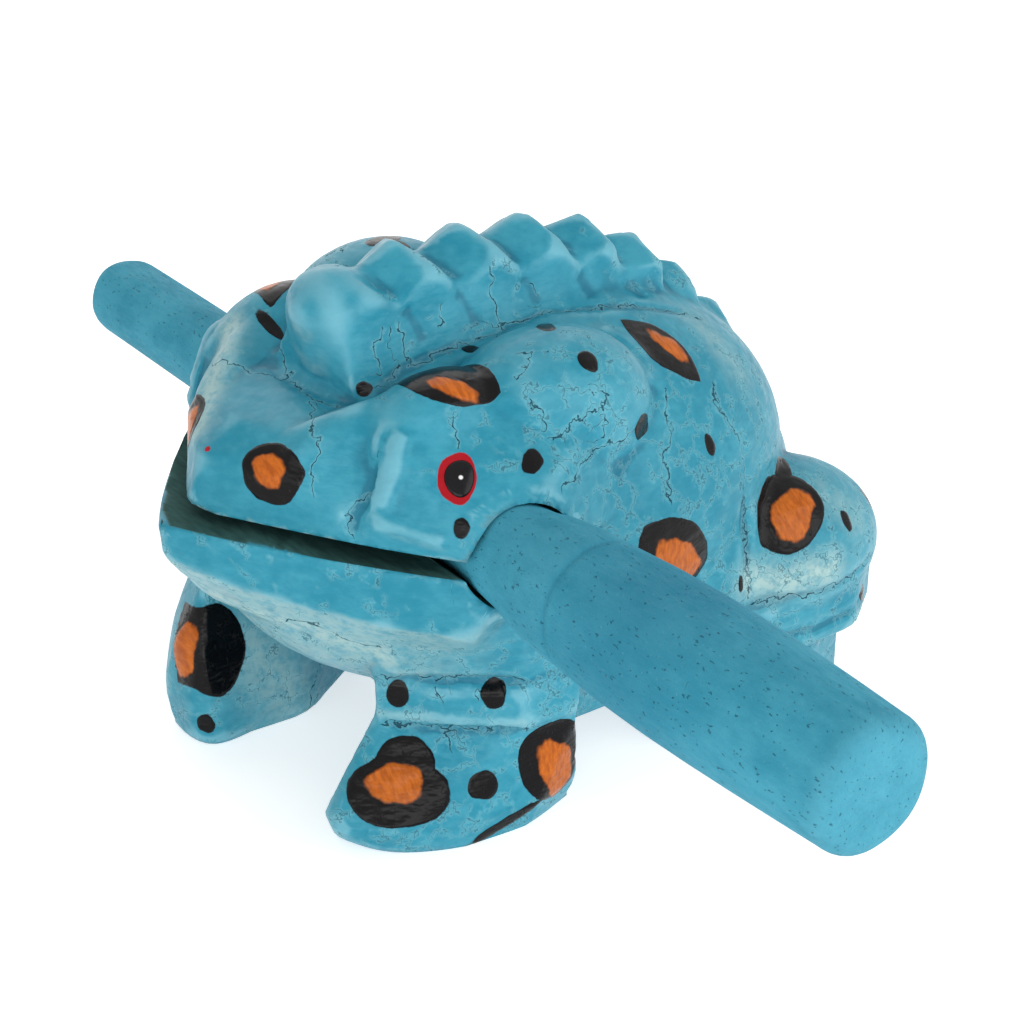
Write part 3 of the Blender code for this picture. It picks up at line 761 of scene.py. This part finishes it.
def add_spot_fields(mesh, places, outward):
    """Stores how far each vertex lies outside the black, the orange and the red paint."""
    dots, blobs, lenses, oranges = painted_spots()
    black = spot_field(places, outward, dots, ragged=0.03)
    black = np.minimum(black, spot_field(places, outward, blobs, ragged=0.02))
    black = np.minimum(black, spot_field(places, outward, lenses, pointed=True, ragged=0.04))
    add_field(mesh, "black", black)
    add_field(mesh, "orange", spot_field(places, outward, oranges, ragged=0.05))
    add_field(mesh, "red", spot_field(places, outward, eye_rings() + [RED_SPECK], ragged=0.03))


def pale_wear_and_light_share(places, outward):
    """How pale the paint is: along the pale lines, some of them worn paint and some painted light, and on
    the faces of the chin that look down, partly paint left pale and partly painted bounce light from below.
    """
    rows = banded_on_both_sides(PALE_WEAR_AND_LIGHT_PLACES, 1.0)
    rows += [(mirrored_line(line), wide, strong) for line, wide, strong in RIGHT_PAINTED_LIGHT_PLACES]
    _x, y, z = places.T
    # Paler faces of the chin that look down: partly pale paint, partly painted bounce light
    under = eased(-outward[:, 2], 0.1, 0.6) * eased(z, 14, 24) * (1 - eased(y, -8, 2))
    return np.maximum(strongest(places, rows), 0.55 * under)


def frog_skin():
    """The carving's skin: the CAD node's triangles made fine and melted smooth between their creases,
    then cut by the furrows and raised at the ledges. Its painted places are stored as fields."""
    places, triangles = fine_triangles("frog_body", LONGEST_EDGE)
    sides = np.concatenate([triangles[:, [0, 1]], triangles[:, [1, 2]], triangles[:, [2, 0]]])
    edges = np.unique(np.sort(sides, axis=1), axis=0)
    turns = edge_turns(places, triangles, edges)
    inside = inside_share(places)
    creases = edges[turns > CREASE_ANGLE]
    held = np.zeros(len(places), dtype=bool)
    held[creases] = True
    places = creases_straightened(places, creases, CREASE_ROUNDS)
    at_a_cut = inside_share(places, 0.7)
    rims = creases[at_a_cut[creases[:, 0]] & at_a_cut[creases[:, 1]]]
    places = creases_straightened(places, rims, RIM_ROUNDS)
    places = melted(places, edges, FACET_ROUNDS, held)
    flat = inside_share(places, 0.02) | (inside & held)
    places = melted(places, edges, ALL_ROUNDS, flat)
    x, y, z = places.T
    prow = (y < PROW_BACK_END) & (z > PROW_LOW) & (np.abs(x) < PROW_HALF_WIDTH)
    places = melted(places, edges, PROW_ROUNDS, ~prow, 0.4)
    places = right_foot_shaped(places)

    outward = outward_directions(places, triangles)
    outer = ~inside_share(places, 0.3)
    depth = carved_depth(places)
    places = places + outward * (depth * outer)[:, None]
    places[:, 2] = np.maximum(places[:, 2], 0.0)

    mesh = new_mesh("frog_skin", places, triangles)
    outward = outward_directions(places, triangles)
    add_spot_fields(mesh, places, outward)
    right_cracks = [mirrored_line(line) for line in RIGHT_SIDE_CRACKS]
    cracks = on_both_sides(CRACKS, RIGHT_SIDE_WANDER) + right_cracks
    side, strength = crack_fields(places, outward, cracks)
    add_field(mesh, "crack_side", side)
    add_field(mesh, "crack_strength", strength * outer)
    add_field(mesh, "pale", pale_wear_and_light_share(places, outward))
    add_field(mesh, "crazing", crazing_share(places, outward))
    standing = bulge(places, edges, outward)
    add_field(mesh, "bulge", np.where(inside_share(places, 0.9), LEVEL_BULGE, standing))
    add_field(mesh, "inside", bare_share(places, triangles))
    return put("frog_skin", mesh)


def eye_places():
    """Middle and long way of the left eye and of the right one, as the carver's second try."""
    x, y, z = EYE_PLACE
    a, b, c = EYE_LONG_WAY
    return ((EYE_PLACE, EYE_LONG_WAY), ((-x, y + 0.3, z - 0.2), (-a, b, c)))


def pupil(name, skin_places, outward, middle, long_way):
    """A dab of black enamel: a grid of rings and turns laid on the skin, whose height over it falls
    as a quarter circle from its middle to nothing at its rim. A short skirt under the rim and a
    flat bottom in the wood close it."""
    nearest = np.argmin(np.sum((skin_places - np.array(middle)) ** 2, axis=1))
    near = np.sum((skin_places - skin_places[nearest]) ** 2, axis=1) < SKIN_REACH**2
    normal = lengthened(outward[near].sum(axis=0)[None, :])[0]
    length_way = np.array(long_way) - normal * (np.array(long_way) @ normal)
    length_way /= np.linalg.norm(length_way)
    width_way = np.cross(normal, length_way)
    turns = PUPIL_TURNS
    radius = np.linspace(0, 1, PUPIL_RINGS)[1:, None]
    turn = np.linspace(0, math.tau, turns, endpoint=False)[None, :]
    lobes = 1 + 0.04 * np.sin(3 * turn + 0.6)
    along = (PUPIL_HALF_LENGTH * radius * lobes * np.cos(turn)).ravel()
    across = (PUPIL_HALF_WIDTH * radius * lobes * np.sin(turn)).ravel() + PUPIL_ASIDE
    height = (PUPIL_RISE * np.sqrt(np.maximum(1 - radius**2, 0)) * np.ones_like(turn)).ravel()
    flat = skin_places[nearest] + along[:, None] * length_way + across[:, None] * width_way
    offsets = skin_places[near] - skin_places[nearest]
    plane = np.stack([offsets @ length_way, offsets @ width_way], axis=1)
    gaps = np.linalg.norm(np.stack([along, across], axis=1)[:, None, :] - plane[None, :, :], axis=2)
    weights = np.exp(-((gaps / 0.5) ** 2)) + 1e-9
    level = weights @ (offsets @ normal) / weights.sum(axis=1)
    dome = flat + (level + height + PUPIL_CLEAR)[:, None] * normal
    centre = dome[:turns].mean(axis=0) + PUPIL_CENTRE_RISE * normal
    foot = dome[-turns:] - PUPIL_SKIRT * normal
    base = foot.mean(axis=0)
    points = np.concatenate([centre[None, :], dome, foot, base[None, :]])
    ring = np.arange(turns)
    ahead = (ring + 1) % turns
    faces = [np.stack([np.zeros(turns, dtype=int), 1 + ring, 1 + ahead], 1)]
    for row in range(PUPIL_RINGS - 1):
        low, high = 1 + row * turns, 1 + (row + 1) * turns
        faces.append(np.stack([low + ring, high + ring, high + ahead], 1))
        faces.append(np.stack([low + ring, high + ahead, low + ahead], 1))
    last = 1 + (PUPIL_RINGS - 1) * turns
    faces.append(np.stack([last + ring, np.full(turns, len(points) - 1), last + ahead], 1))
    mesh = new_mesh(name, points, np.concatenate(faces))
    add_field(mesh, "glint", np.linalg.norm(points - centre - GLINT_ASIDE * width_way, axis=1))
    return put(name, mesh)


def stick_profile():
    """Place along the axis and radius, from the shaft's tip to the handle's end. The middle is read
    from the turned stick's main sizes and smoothed over two millimetres, the ends are quarter
    circles, and the scored ring is a narrow bell cut."""
    middle = np.linspace(TIP_START, HANDLE_END, 300)
    radius = np.interp(middle, REACH_PLACES, REACH_RADII)
    radius = np.convolve(np.pad(radius, 2, mode="edge"), np.ones(5) / 5, mode="valid")
    radius -= RING_DEPTH * np.exp(-(((middle - RING_PLACE) / RING_CUT_HALF_WIDTH) ** 2))
    quarter = np.linspace(0, math.pi / 2, 9)
    tip = TIP_START - TIP_ROUND * np.cos(quarter[:-1])
    tip_radius = SHAFT_RADIUS - TIP_ROUND * (1 - np.sin(quarter[:-1]))
    end = HANDLE_END + HANDLE_ROUND * np.sin(quarter[1:])
    end_radius = HANDLE_END_RADIUS - HANDLE_ROUND * (1 - np.cos(quarter[1:]))
    tip_face = np.linspace(0, 1, 4)[1:-1] * tip_radius[0]
    end_face = np.linspace(1, 0, 8)[1:-1] * end_radius[-1]
    along = np.concatenate([np.full(2, tip[0]), tip, middle, end, np.full(6, end[-1])])
    around = np.concatenate([tip_face, tip_radius, radius, end_radius, end_face])
    return along, around


def stick_points(along, radius, turn):
    """The grid of the turned stick and its two poles, about an axis that leans down to the handle
    and meets the hole's axis at the left cheek: each point is a radius away from it, at its turn."""
    lean = math.radians(STICK_LEAN)
    axis = np.array((math.cos(lean), 0.0, -math.sin(lean)))
    upward = np.array((math.sin(lean), 0.0, math.cos(lean)))
    side = np.array((0.0, 1.0, 0.0))
    middle = np.array((0.0, 0.0, HOLE_HEIGHT + CHEEK_HALF_WIDTH * math.tan(lean)))
    spread = np.cos(turn)[..., None] * side + np.sin(turn)[..., None] * upward
    grid = middle + along[:, None, None] * axis + radius[..., None] * spread
    poles = middle + along[[0, -1], None] * axis
    return np.concatenate([grid.reshape(-1, 3), poles])


def stick_faces(rows, sides):
    """The grid's squares, each as two triangles, and the fans about both poles."""
    ring = np.arange(sides)
    ahead = (ring + 1) % sides
    start = (np.arange(rows - 1) * sides)[:, None]
    near, far = start + ring, start + sides + ring
    near_ahead, far_ahead = start + ahead, start + sides + ahead
    tip = rows * sides
    last = (rows - 1) * sides
    return np.concatenate([
        np.stack([near, far, far_ahead], 2).reshape(-1, 3),
        np.stack([near, far_ahead, near_ahead], 2).reshape(-1, 3),
        np.stack([ring, ahead, np.full(sides, tip)], 1),
        np.stack([last + ahead, last + ring, np.full(sides, tip + 1)], 1),
    ])


def rasp_stick_skin():
    """The stick: its profile turned round. Long shallow flats from the sandpaper, slow waves round it
    and along it, take a little off its radius here and there."""
    along, around = stick_profile()
    turn = np.linspace(0, math.tau, STICK_SIDES, endpoint=False)[None, :]
    row, size = along[:, None], around[:, None]
    flats = LONG_FLATS * (1 + np.sin(5 * turn + 0.09 * row)) * (size > FLATS_PAST_RADIUS)
    flats += BROAD_FLATS * (1 + np.sin(3 * turn - 0.05 * row + 1)) * (size > FLATS_PAST_RADIUS)
    points = stick_points(along, size - flats, turn)
    mesh = new_mesh("rasp_stick_skin", points, stick_faces(len(along), STICK_SIDES))
    places = np.concatenate([np.repeat(along, STICK_SIDES), along[[0, -1]]])
    radii = np.concatenate([np.repeat(around, STICK_SIDES), [0, 0]])
    at_end = eased(places, 86.0, 89.0) + eased(-places, 62.5, 65.5)
    rim = np.exp(-(((radii - 6.9) / 0.9) ** 2)) * eased(places, 86.0, 88.0)
    before_ring = eased(places, 36.0, 41.0) * (1 - eased(places, 44.5, 45.6))
    # Painted shade in the scored ring's groove
    ring_groove_shade = np.exp(-(((places - RING_PLACE) / 0.5) ** 2))
    add_field(mesh, "pale", np.clip(0.8 * at_end + 0.6 * rim + 0.35 * before_ring, 0, 1))
    add_field(mesh, "dark", np.exp(-(((places - DARKEST_PLACE) / 11) ** 2)) + 0.5 * ring_groove_shade)
    return put("rasp_stick_skin", mesh)


def node(tree, kind, inputs=None, **settings):
    """A shader node with its settings, and its inputs set to values or joined to other nodes' outputs."""
    made = tree.nodes.new("ShaderNode" + kind)
    for name, value in settings.items():
        setattr(made, name, value)
    for name, value in (inputs or {}).items():
        if isinstance(value, bpy.types.NodeSocket):
            tree.links.new(value, made.inputs[name])
        else:
            made.inputs[name].default_value = value
    return made


def math_node(tree, operation, first, second=0.0):
    """One sum, product or the like of two values."""
    return node(tree, "Math", {0: first, 1: second}, operation=operation).outputs[0]


def stepped(tree, value, low, high, to_low=0.0, to_high=1.0):
    """A value's way from low to high as a smooth step from to_low to to_high."""
    inputs = {"Value": value, "From Min": low, "From Max": high, "To Min": to_low, "To Max": to_high}
    return node(tree, "MapRange", inputs, interpolation_type="SMOOTHSTEP").outputs["Result"]


def times(tree, first, second):
    """The product of two values."""
    return math_node(tree, "MULTIPLY", first, second)


def blended(tree, share, under, over):
    """One colour laid over another by a share from 0 to 1."""
    inputs = {"Factor": share, 6: under, 7: over}
    return node(tree, "Mix", inputs, data_type="RGBA").outputs[2]


def laid_over(tree, share, under, over):
    """One number over another by a share from 0 to 1."""
    return node(tree, "Mix", {"Factor": share, 2: under, 3: over}).outputs[0]


def field(tree, name):
    """The number that each vertex of the mesh stores under a name."""
    return node(tree, "Attribute", attribute_name=name).outputs["Fac"]


def noise(tree, place, scale, detail=3.0, roughness=0.5):
    """A noise texture over a place."""
    inputs = {"Vector": place, "Scale": scale, "Detail": detail, "Roughness": roughness}
    return node(tree, "TexNoise", inputs)


def cloud(tree, place, scale, detail=3.0, roughness=0.5):
    """Noise as one value."""
    return noise(tree, place, scale, detail, roughness).outputs["Fac"]


def new_group(name, inputs, outputs):
    """A shader node group with its named inputs and outputs, and its inner ends."""
    group = bpy.data.node_groups.new(name, "ShaderNodeTree")
    for label, kind, value in inputs:
        socket = group.interface.new_socket(label, in_out="INPUT", socket_type=kind)
        if value is not None:
            socket.default_value = value
    for label, kind in outputs:
        group.interface.new_socket(label, in_out="OUTPUT", socket_type=kind)
    start = group.nodes.new("NodeGroupInput")
    end = group.nodes.new("NodeGroupOutput")
    return group, start.outputs, end.inputs


def use_group(tree, group, inputs):
    """A group used in a shader, and its outputs."""
    return node(tree, "Group", inputs, node_tree=group).outputs


def crazing_group():
    """Paint that has shrunk and split: the walls between cells, bent by noise, which open only
    here and there. Puts out the dark line and the pale curled edge beside it."""
    group, given, wanted = new_group(
        "crazing",
        [("Place", "NodeSocketVector", None), ("Cells", "NodeSocketFloat", 0.25),
         ("Width", "NodeSocketFloat", 0.12), ("Share", "NodeSocketFloat", 0.5)],
        [("Line", "NodeSocketFloat"), ("Edge", "NodeSocketFloat")],
    )
    bend = noise(group, given["Place"], 0.7, 2.0, 0.6)
    half = (0.5, 0.5, 0.5)
    centred = node(group, "VectorMath", {0: bend.outputs["Color"], 1: half}, operation="SUBTRACT")
    pushed = node(group, "VectorMath", {0: centred.outputs[0], "Scale": 3.2}, operation="SCALE")
    bent = node(group, "VectorMath", {0: given["Place"], 1: pushed.outputs[0]}, operation="ADD")
    cells = {"Vector": bent.outputs[0], "Scale": given["Cells"]}
    walls = node(group, "TexVoronoi", cells, feature="DISTANCE_TO_EDGE")
    distance = math_node(group, "DIVIDE", walls.outputs["Distance"], given["Cells"])
    patch = cloud(group, given["Place"], 0.3, 1.0)
    needed = math_node(group, "SUBTRACT", 0.78, times(group, given["Share"], 0.52))
    opening = stepped(group, math_node(group, "SUBTRACT", patch, needed), 0.0, 0.12)
    past_line = math_node(group, "SUBTRACT", distance, times(group, given["Width"], opening))
    line = times(group, stepped(group, past_line, -0.02, 0.04, 1.0, 0.0), opening)
    edge = times(group, stepped(group, distance, 0.05, 0.55, 1.0, 0.0), opening)
    group.links.new(line, wanted["Line"])
    group.links.new(edge, wanted["Edge"])
    return group


def tone_group():
    """Two colours of one finish, mixed by broad patches and by streaks. Puts out the colour."""
    group, given, wanted = new_group(
        "brushed_tone",
        [("Place", "NodeSocketVector", None), ("Streaks", "NodeSocketVector", None),
         ("Dark", "NodeSocketColor", (0, 0, 0, 1)), ("Light", "NodeSocketColor", (1, 1, 1, 1))],
        [("Color", "NodeSocketColor")],
    )
    patches = times(group, cloud(group, given["Place"], 0.11, 3.0, 0.6), 0.6)
    streaks = times(group, cloud(group, given["Streaks"], 1.0, 4.0, 0.6), 0.4)
    share = stepped(group, math_node(group, "ADD", patches, streaks), 0.36, 0.64)
    group.links.new(blended(group, share, given["Dark"], given["Light"]), wanted["Color"])
    return group


def linear(colour):
    """A colour as a screen shows it, from 0 to 255, as the light that the shader wants."""
    parts = np.array(colour) / 255
    parts = np.where(parts <= 0.04045, parts / 12.92, ((parts + 0.055) / 1.055) ** 2.4)
    return (*parts.tolist(), 1.0)


def new_material(name):
    """A material, its nodes and its shader."""
    material = bpy.data.materials.new(name)
    material.use_nodes = True
    return material, material.node_tree, material.node_tree.nodes["Principled BSDF"]


def place_in_mm(tree):
    """The place on the piece, in millimetres."""
    where = node(tree, "TexCoord").outputs["Object"]
    return node(tree, "VectorMath", {0: where, "Scale": 1 / MM}, operation="SCALE").outputs[0]


def stretched(tree, place, factors):
    """A place with its three parts made longer or shorter, so that a pattern on it is drawn out."""
    return node(tree, "VectorMath", {0: place, 1: factors}, operation="MULTIPLY").outputs[0]


def cracked_colour(tree, place, crazing, colour):
    """Fine crazing and the long cracks over a colour. A long crack runs where its distance field,
    pushed aside by noise, is about zero, and its width swells and shrinks.
    Gives the new colour, all the cracks as a mask, and the long ones."""
    share = field(tree, "crazing")
    cells = use_group(tree, crazing, {
        "Place": place, "Cells": CELLS_IN_MM, "Width": CELL_CRACK_WIDTH, "Share": share,
    })
    wander = stepped(tree, cloud(tree, place, 0.45, 3.0, 0.55), 0.2, 0.8, -CRACK_WANDER, CRACK_WANDER)
    side = math_node(tree, "ADD", field(tree, "crack_side"), wander)
    away = math_node(tree, "ABSOLUTE", side)
    strength = field(tree, "crack_strength")
    width = stepped(tree, cloud(tree, place, 0.6, 2.0), 0.34, 0.64, *LONG_CRACK_WIDTHS)
    open_crack = stepped(tree, math_node(tree, "SUBTRACT", away, width), -0.05, 0.04, 1.0, 0.0)
    long_line = times(tree, open_crack, stepped(tree, strength, 0.1, 0.3))
    long_edge = times(tree, stepped(tree, away, 0.1, 0.6, 1.0, 0.0), strength)
    line = math_node(tree, "MAXIMUM", times(tree, cells["Line"], 0.62), long_line)
    edge = math_node(tree, "MAXIMUM", cells["Edge"], long_edge)
    colour = blended(tree, times(tree, edge, 0.28), colour, linear(CRACK_EDGE))
    colour = blended(tree, times(tree, line, 0.85), colour, linear(CRACK_LINE))
    return colour, line, long_line


def dabbed_colour(tree, place, colour):
    """The red, black and orange dabs over a colour, with ragged outlines and brush marks.
    Gives the new colour and the black as a mask."""
    ragged = stepped(tree, cloud(tree, place, 0.5, 2.0, 0.5), 0.2, 0.8, -0.12, 0.12)
    red = math_node(tree, "ADD", field(tree, "red"), times(tree, ragged, 0.6))
    colour = blended(tree, stepped(tree, red, -0.08, 0.06, 1.0, 0.0), colour, linear(RING_RED))
    black = math_node(tree, "ADD", field(tree, "black"), ragged)
    black = stepped(tree, black, -0.07, 0.07, 1.0, 0.0)
    brushed = cloud(tree, stretched(tree, place, (0.5, 2.2, 0.8)), 0.9, 3.0, 0.6)
    dry = stepped(tree, brushed, 0.6, 0.85)
    colour = blended(tree, black, colour, blended(tree, dry, linear(DAB_BLACK), linear(DAB_BLACK_DRY)))
    orange = math_node(tree, "ADD", field(tree, "orange"), times(tree, ragged, 2.2))
    orange = stepped(tree, orange, -0.25, 0.2, 1.0, 0.0)
    amber = stepped(tree, brushed, 0.3, 0.7)
    amber = blended(tree, amber, linear(DAB_ORANGE), linear(DAB_ORANGE_DEEP))
    return blended(tree, times(tree, orange, 0.95), colour, amber), black


def paint_relief(tree, place, long_line):
    """Brush strokes, the thickness of the dabs and the depth of the long cracks, as a normal."""
    strokes = cloud(tree, stretched(tree, place, (0.35, 0.35, 0.8)), 1.0, 2.0, 0.5)
    height = times(tree, strokes, STROKE_HEIGHT)
    black = stepped(tree, field(tree, "black"), -0.3, 0.2, BLACK_HEIGHT, 0.0)
    orange = stepped(tree, field(tree, "orange"), -0.3, 0.2, ORANGE_HEIGHT, 0.0)
    for layer in (black, orange, times(tree, long_line, -LONG_CRACK_DEPTH)):
        height = math_node(tree, "ADD", height, layer)
    return node(tree, "Bump", {"Height": height, "Distance": MM, "Strength": 1.0}).outputs[0]


def crazed_paint(crazing, tone):
    """Blue paint, brushed on thick, dried and crazed, with black, orange and red dabs over it.
    It is paler on standing edges, partly from wear and partly as a painted highlight, has painted shade in
    its hollows, is paler in places from wear and from painted light, and the cuts show bare wood."""
    material, tree, shader = new_material("crazed_blue_paint")
    place = place_in_mm(tree)
    colour = use_group(tree, tone, {
        "Place": place, "Streaks": stretched(tree, place, (0.5, 0.5, 0.9)),
        "Dark": linear(PAINT_DARK), "Light": linear(PAINT_LIGHT),
    })["Color"]
    standing = field(tree, "bulge")
    # Standing edges made paler: partly worn paint, partly a painted highlight
    edge_wear_and_highlight = stepped(tree, standing, 0.02, 0.16, 0.0, 0.6)
    colour = blended(tree, edge_wear_and_highlight, colour, linear(PAINT_EDGE_WEAR_AND_HIGHLIGHT))
    # Painted shade: hollows darkened where shade falls
    hollow_shade = stepped(tree, standing, -0.12, -0.02, 0.6, 0.0)
    colour = blended(tree, hollow_shade, colour, linear(PAINT_SHADE_IN_HOLLOWS))
    # Paler paint where worn, and painted light: the snout's right edge sheen, the shaded right front leg,
    # the jaw's underside
    patchy = stepped(tree, cloud(tree, place, 0.7, 3.0, 0.7), 0.3, 0.6, 0.35, 1.0)
    colour = blended(tree, times(tree, field(tree, "pale"), patchy), colour, linear(PAINT_WORN_AND_LIT))
    colour, line, long_line = cracked_colour(tree, place, crazing, colour)

    inside = field(tree, "inside")
    streaks = cloud(tree, stretched(tree, place, (0.3, 1.2, 1.0)), 1.1, 3.0)
    wood = blended(tree, streaks, linear(WOOD_DARK), linear(WOOD_LIGHT))
    colour = blended(tree, stepped(tree, inside, 0.5, 0.62), colour, wood)
    colour, black = dabbed_colour(tree, place, colour)
    tree.links.new(colour, shader.inputs["Base Color"])

    rough = stepped(tree, cloud(tree, place, 0.6, 2.0), 0.3, 0.7, *PAINT_ROUGHNESS)
    rough = laid_over(tree, black, rough, BLACK_ROUGHNESS)
    dry = math_node(tree, "MAXIMUM", line, stepped(tree, inside, 0.5, 0.7))
    tree.links.new(laid_over(tree, dry, rough, DRY_ROUGHNESS), shader.inputs["Roughness"])
    tree.links.new(paint_relief(tree, place, long_line), shader.inputs["Normal"])
    shader.inputs["Specular IOR Level"].default_value = PAINT_GLOSS
    return material


def stained_wood(crazing, tone):
    """Blue stain on turned wood: matt, with its grain along the stick, pits, pale motes and a few
    hair cracks."""
    material, tree, shader = new_material("stained_stick_wood")
    place = place_in_mm(tree)
    along_grain = stretched(tree, place, (0.25, 1.1, 1.1))
    colour = use_group(tree, tone, {
        "Place": stretched(tree, place, (0.9, 1.3, 1.3)),
        "Streaks": stretched(tree, place, (0.2, 0.4, 0.4)),
        "Dark": linear(STAIN_DARK), "Light": linear(STAIN_LIGHT),
    })["Color"]
    # Darker about the middle of the handle, and painted shade in the scored ring
    colour = blended(tree, times(tree, field(tree, "dark"), 0.6), colour, linear(STAIN_DEEP))
    colour = blended(tree, times(tree, field(tree, "pale"), 0.25), colour, linear(STAIN_WORN))
    pits = cloud(tree, stretched(tree, place, (1.0, 2.0, 2.0)), 1.3, 2.0)
    pits = stepped(tree, pits, 0.66, 0.73)
    colour = blended(tree, times(tree, pits, 0.55), colour, linear(STAIN_PIT))
    motes = stepped(tree, cloud(tree, place, 2.6, 1.0), 0.70, 0.76)
    colour = blended(tree, times(tree, motes, 0.2), colour, linear(STAIN_MOTE))
    hairs = use_group(tree, crazing, {
        "Place": place, "Cells": STAIN_CELLS_IN_MM,
        "Width": STAIN_CRACK_WIDTH, "Share": STAIN_CRACKED_SHARE,
    })
    colour = blended(tree, times(tree, hairs["Line"], 0.7), colour, linear(STAIN_HAIR))
    tree.links.new(colour, shader.inputs["Base Color"])

    rough = stepped(tree, cloud(tree, along_grain, 2.0, 3.0), 0.3, 0.7, *STAIN_ROUGHNESS)
    tree.links.new(rough, shader.inputs["Roughness"])
    height = times(tree, cloud(tree, along_grain, 2.4, 5.0, 0.7), GRAIN_HEIGHT)
    fuzz = times(tree, cloud(tree, place, 2.5, 3.0), FUZZ_HEIGHT)
    for layer in (times(tree, pits, -PIT_DEPTH), fuzz):
        height = math_node(tree, "ADD", height, layer)
    relief = node(tree, "Bump", {"Height": height, "Distance": MM, "Strength": 1.0})
    tree.links.new(relief.outputs[0], shader.inputs["Normal"])
    shader.inputs["Specular IOR Level"].default_value = STAIN_AND_ENAMEL_GLOSS
    return material


def eye_enamel():
    """Glossy black enamel with a tiny white dot in its colour: a painted highlight."""
    material, tree, shader = new_material("black_eye_enamel")
    place = place_in_mm(tree)
    ink = blended(tree, cloud(tree, place, 1.2, 3.0), linear(ENAMEL_DARK), linear(ENAMEL_LIGHT))
    # Painted highlight: a white glint dot painted into the enamel's colour
    glint = field(tree, "glint")
    dot = stepped(tree, glint, GLINT_RADIUS - GLINT_SOFT, GLINT_RADIUS + GLINT_SOFT, 1.0, 0.0)
    tree.links.new(blended(tree, dot, ink, linear(GLINT_HIGHLIGHT_WHITE)), shader.inputs["Base Color"])
    rough = stepped(tree, cloud(tree, place, 2.0, 2.0), 0.3, 0.7, *ENAMEL_ROUGHNESS)
    tree.links.new(rough, shader.inputs["Roughness"])
    shader.inputs["Specular IOR Level"].default_value = STAIN_AND_ENAMEL_GLOSS
    return material


def camera():
    """The camera, where the photograph was taken from and held level."""
    data = bpy.data.cameras.new("camera")
    data.lens = CAMERA_LENS
    data.sensor_width = CAMERA_SENSOR
    data.clip_start = 0.01
    data.clip_end = 20
    seen_from = bpy.data.objects.new("camera", data)
    bpy.context.scene.collection.objects.link(seen_from)
    seen_from.location = on_frog(CAMERA_PLACE)
    seen_from.rotation_euler = (math.radians(90 - CAMERA_ELEVATION), 0, math.radians(CAMERA_AZIMUTH))
    bpy.context.scene.camera = seen_from


def lamp(name, place, size, power):
    """A round soft lamp at a layout place, turned to the frog's middle."""
    data = bpy.data.lights.new(name, "AREA")
    data.shape = "DISK"
    data.size = size
    data.energy = power
    holder = bpy.data.objects.new(name, data)
    bpy.context.scene.collection.objects.link(holder)
    holder.location = on_frog(place)
    away = on_frog(place) - on_frog(FROG_MIDDLE)
    holder.rotation_euler = Vector(away).to_track_quat("Z", "Y").to_euler()


def seen_directly(tree):
    """One for the rays that show a thing itself, to the camera, in gloss or through glass,
    and zero for the light that it gives."""
    path = node(tree, "LightPath")
    shown = math_node(tree, "MAXIMUM", path.outputs["Is Camera Ray"], path.outputs["Is Glossy Ray"])
    return math_node(tree, "MAXIMUM", shown, path.outputs["Is Transmission Ray"])


def between(tree, share, low, high):
    """The value from low to high that a share from 0 to 1 picks."""
    return node(tree, "MapRange", {"Value": share, "To Min": low, "To Max": high}).outputs["Result"]


def studio():
    """A white sky that also fills the shadows, soft lamps, and a white floor that keeps the shadow."""
    scene = bpy.context.scene
    scene.view_settings.view_transform = "Standard"
    world = bpy.data.worlds.new("studio")
    scene.world = world
    world.use_nodes = True
    tree = world.node_tree
    back = tree.nodes["Background"]
    back.inputs["Color"].default_value = (1, 1, 1, 1)
    tree.links.new(between(tree, seen_directly(tree), SKY_LIGHT, 1.0), back.inputs["Strength"])

    mesh = bpy.data.meshes.new("floor")
    low, high = -FLOOR_HALF, FLOOR_HALF
    corners = [(low, low, 0), (high, low, 0), (high, high, 0), (low, high, 0)]
    mesh.from_pydata(corners, [], [(0, 1, 2, 3)])
    floor = put("floor", mesh)
    material, tree, shader = new_material("white_floor")
    shader.inputs["Base Color"].default_value = (0.8, 0.8, 0.8, 1)
    shader.inputs["Roughness"].default_value = 1.0
    shader.inputs["Specular IOR Level"].default_value = 0.0
    shader.inputs["Emission Color"].default_value = (1, 1, 1, 1)
    glow = between(tree, seen_directly(tree), FLOOR_BOUNCE, FLOOR_GLOW)
    tree.links.new(glow, shader.inputs["Emission Strength"])
    mesh.materials.append(material)
    for name, place, size, power in LAMPS:
        lamp(name, place, size, power)


def dress(piece, material):
    """Gives a piece its material and its slot, and lets it ride on the frog's body."""
    piece.data.materials.append(material)
    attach(piece, "root")


crazing = crazing_group()
tone = tone_group()
paint = crazed_paint(crazing, tone)
skin = frog_skin()
dress(skin, paint)
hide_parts("frog_body")

stick = rasp_stick_skin()
dress(stick, stained_wood(crazing, tone))
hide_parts("rasp_stick")

skin_places = read_places(skin.data)
skin_outward = outward_directions(skin_places, read_rows(skin.data.polygons, "vertices", 3))
enamel = eye_enamel()
for name, (middle, long_way) in zip(("pupil_left", "pupil_right"), eye_places()):
    dress(pupil(name, skin_places, skin_outward, middle, long_way), enamel)

camera()
studio()
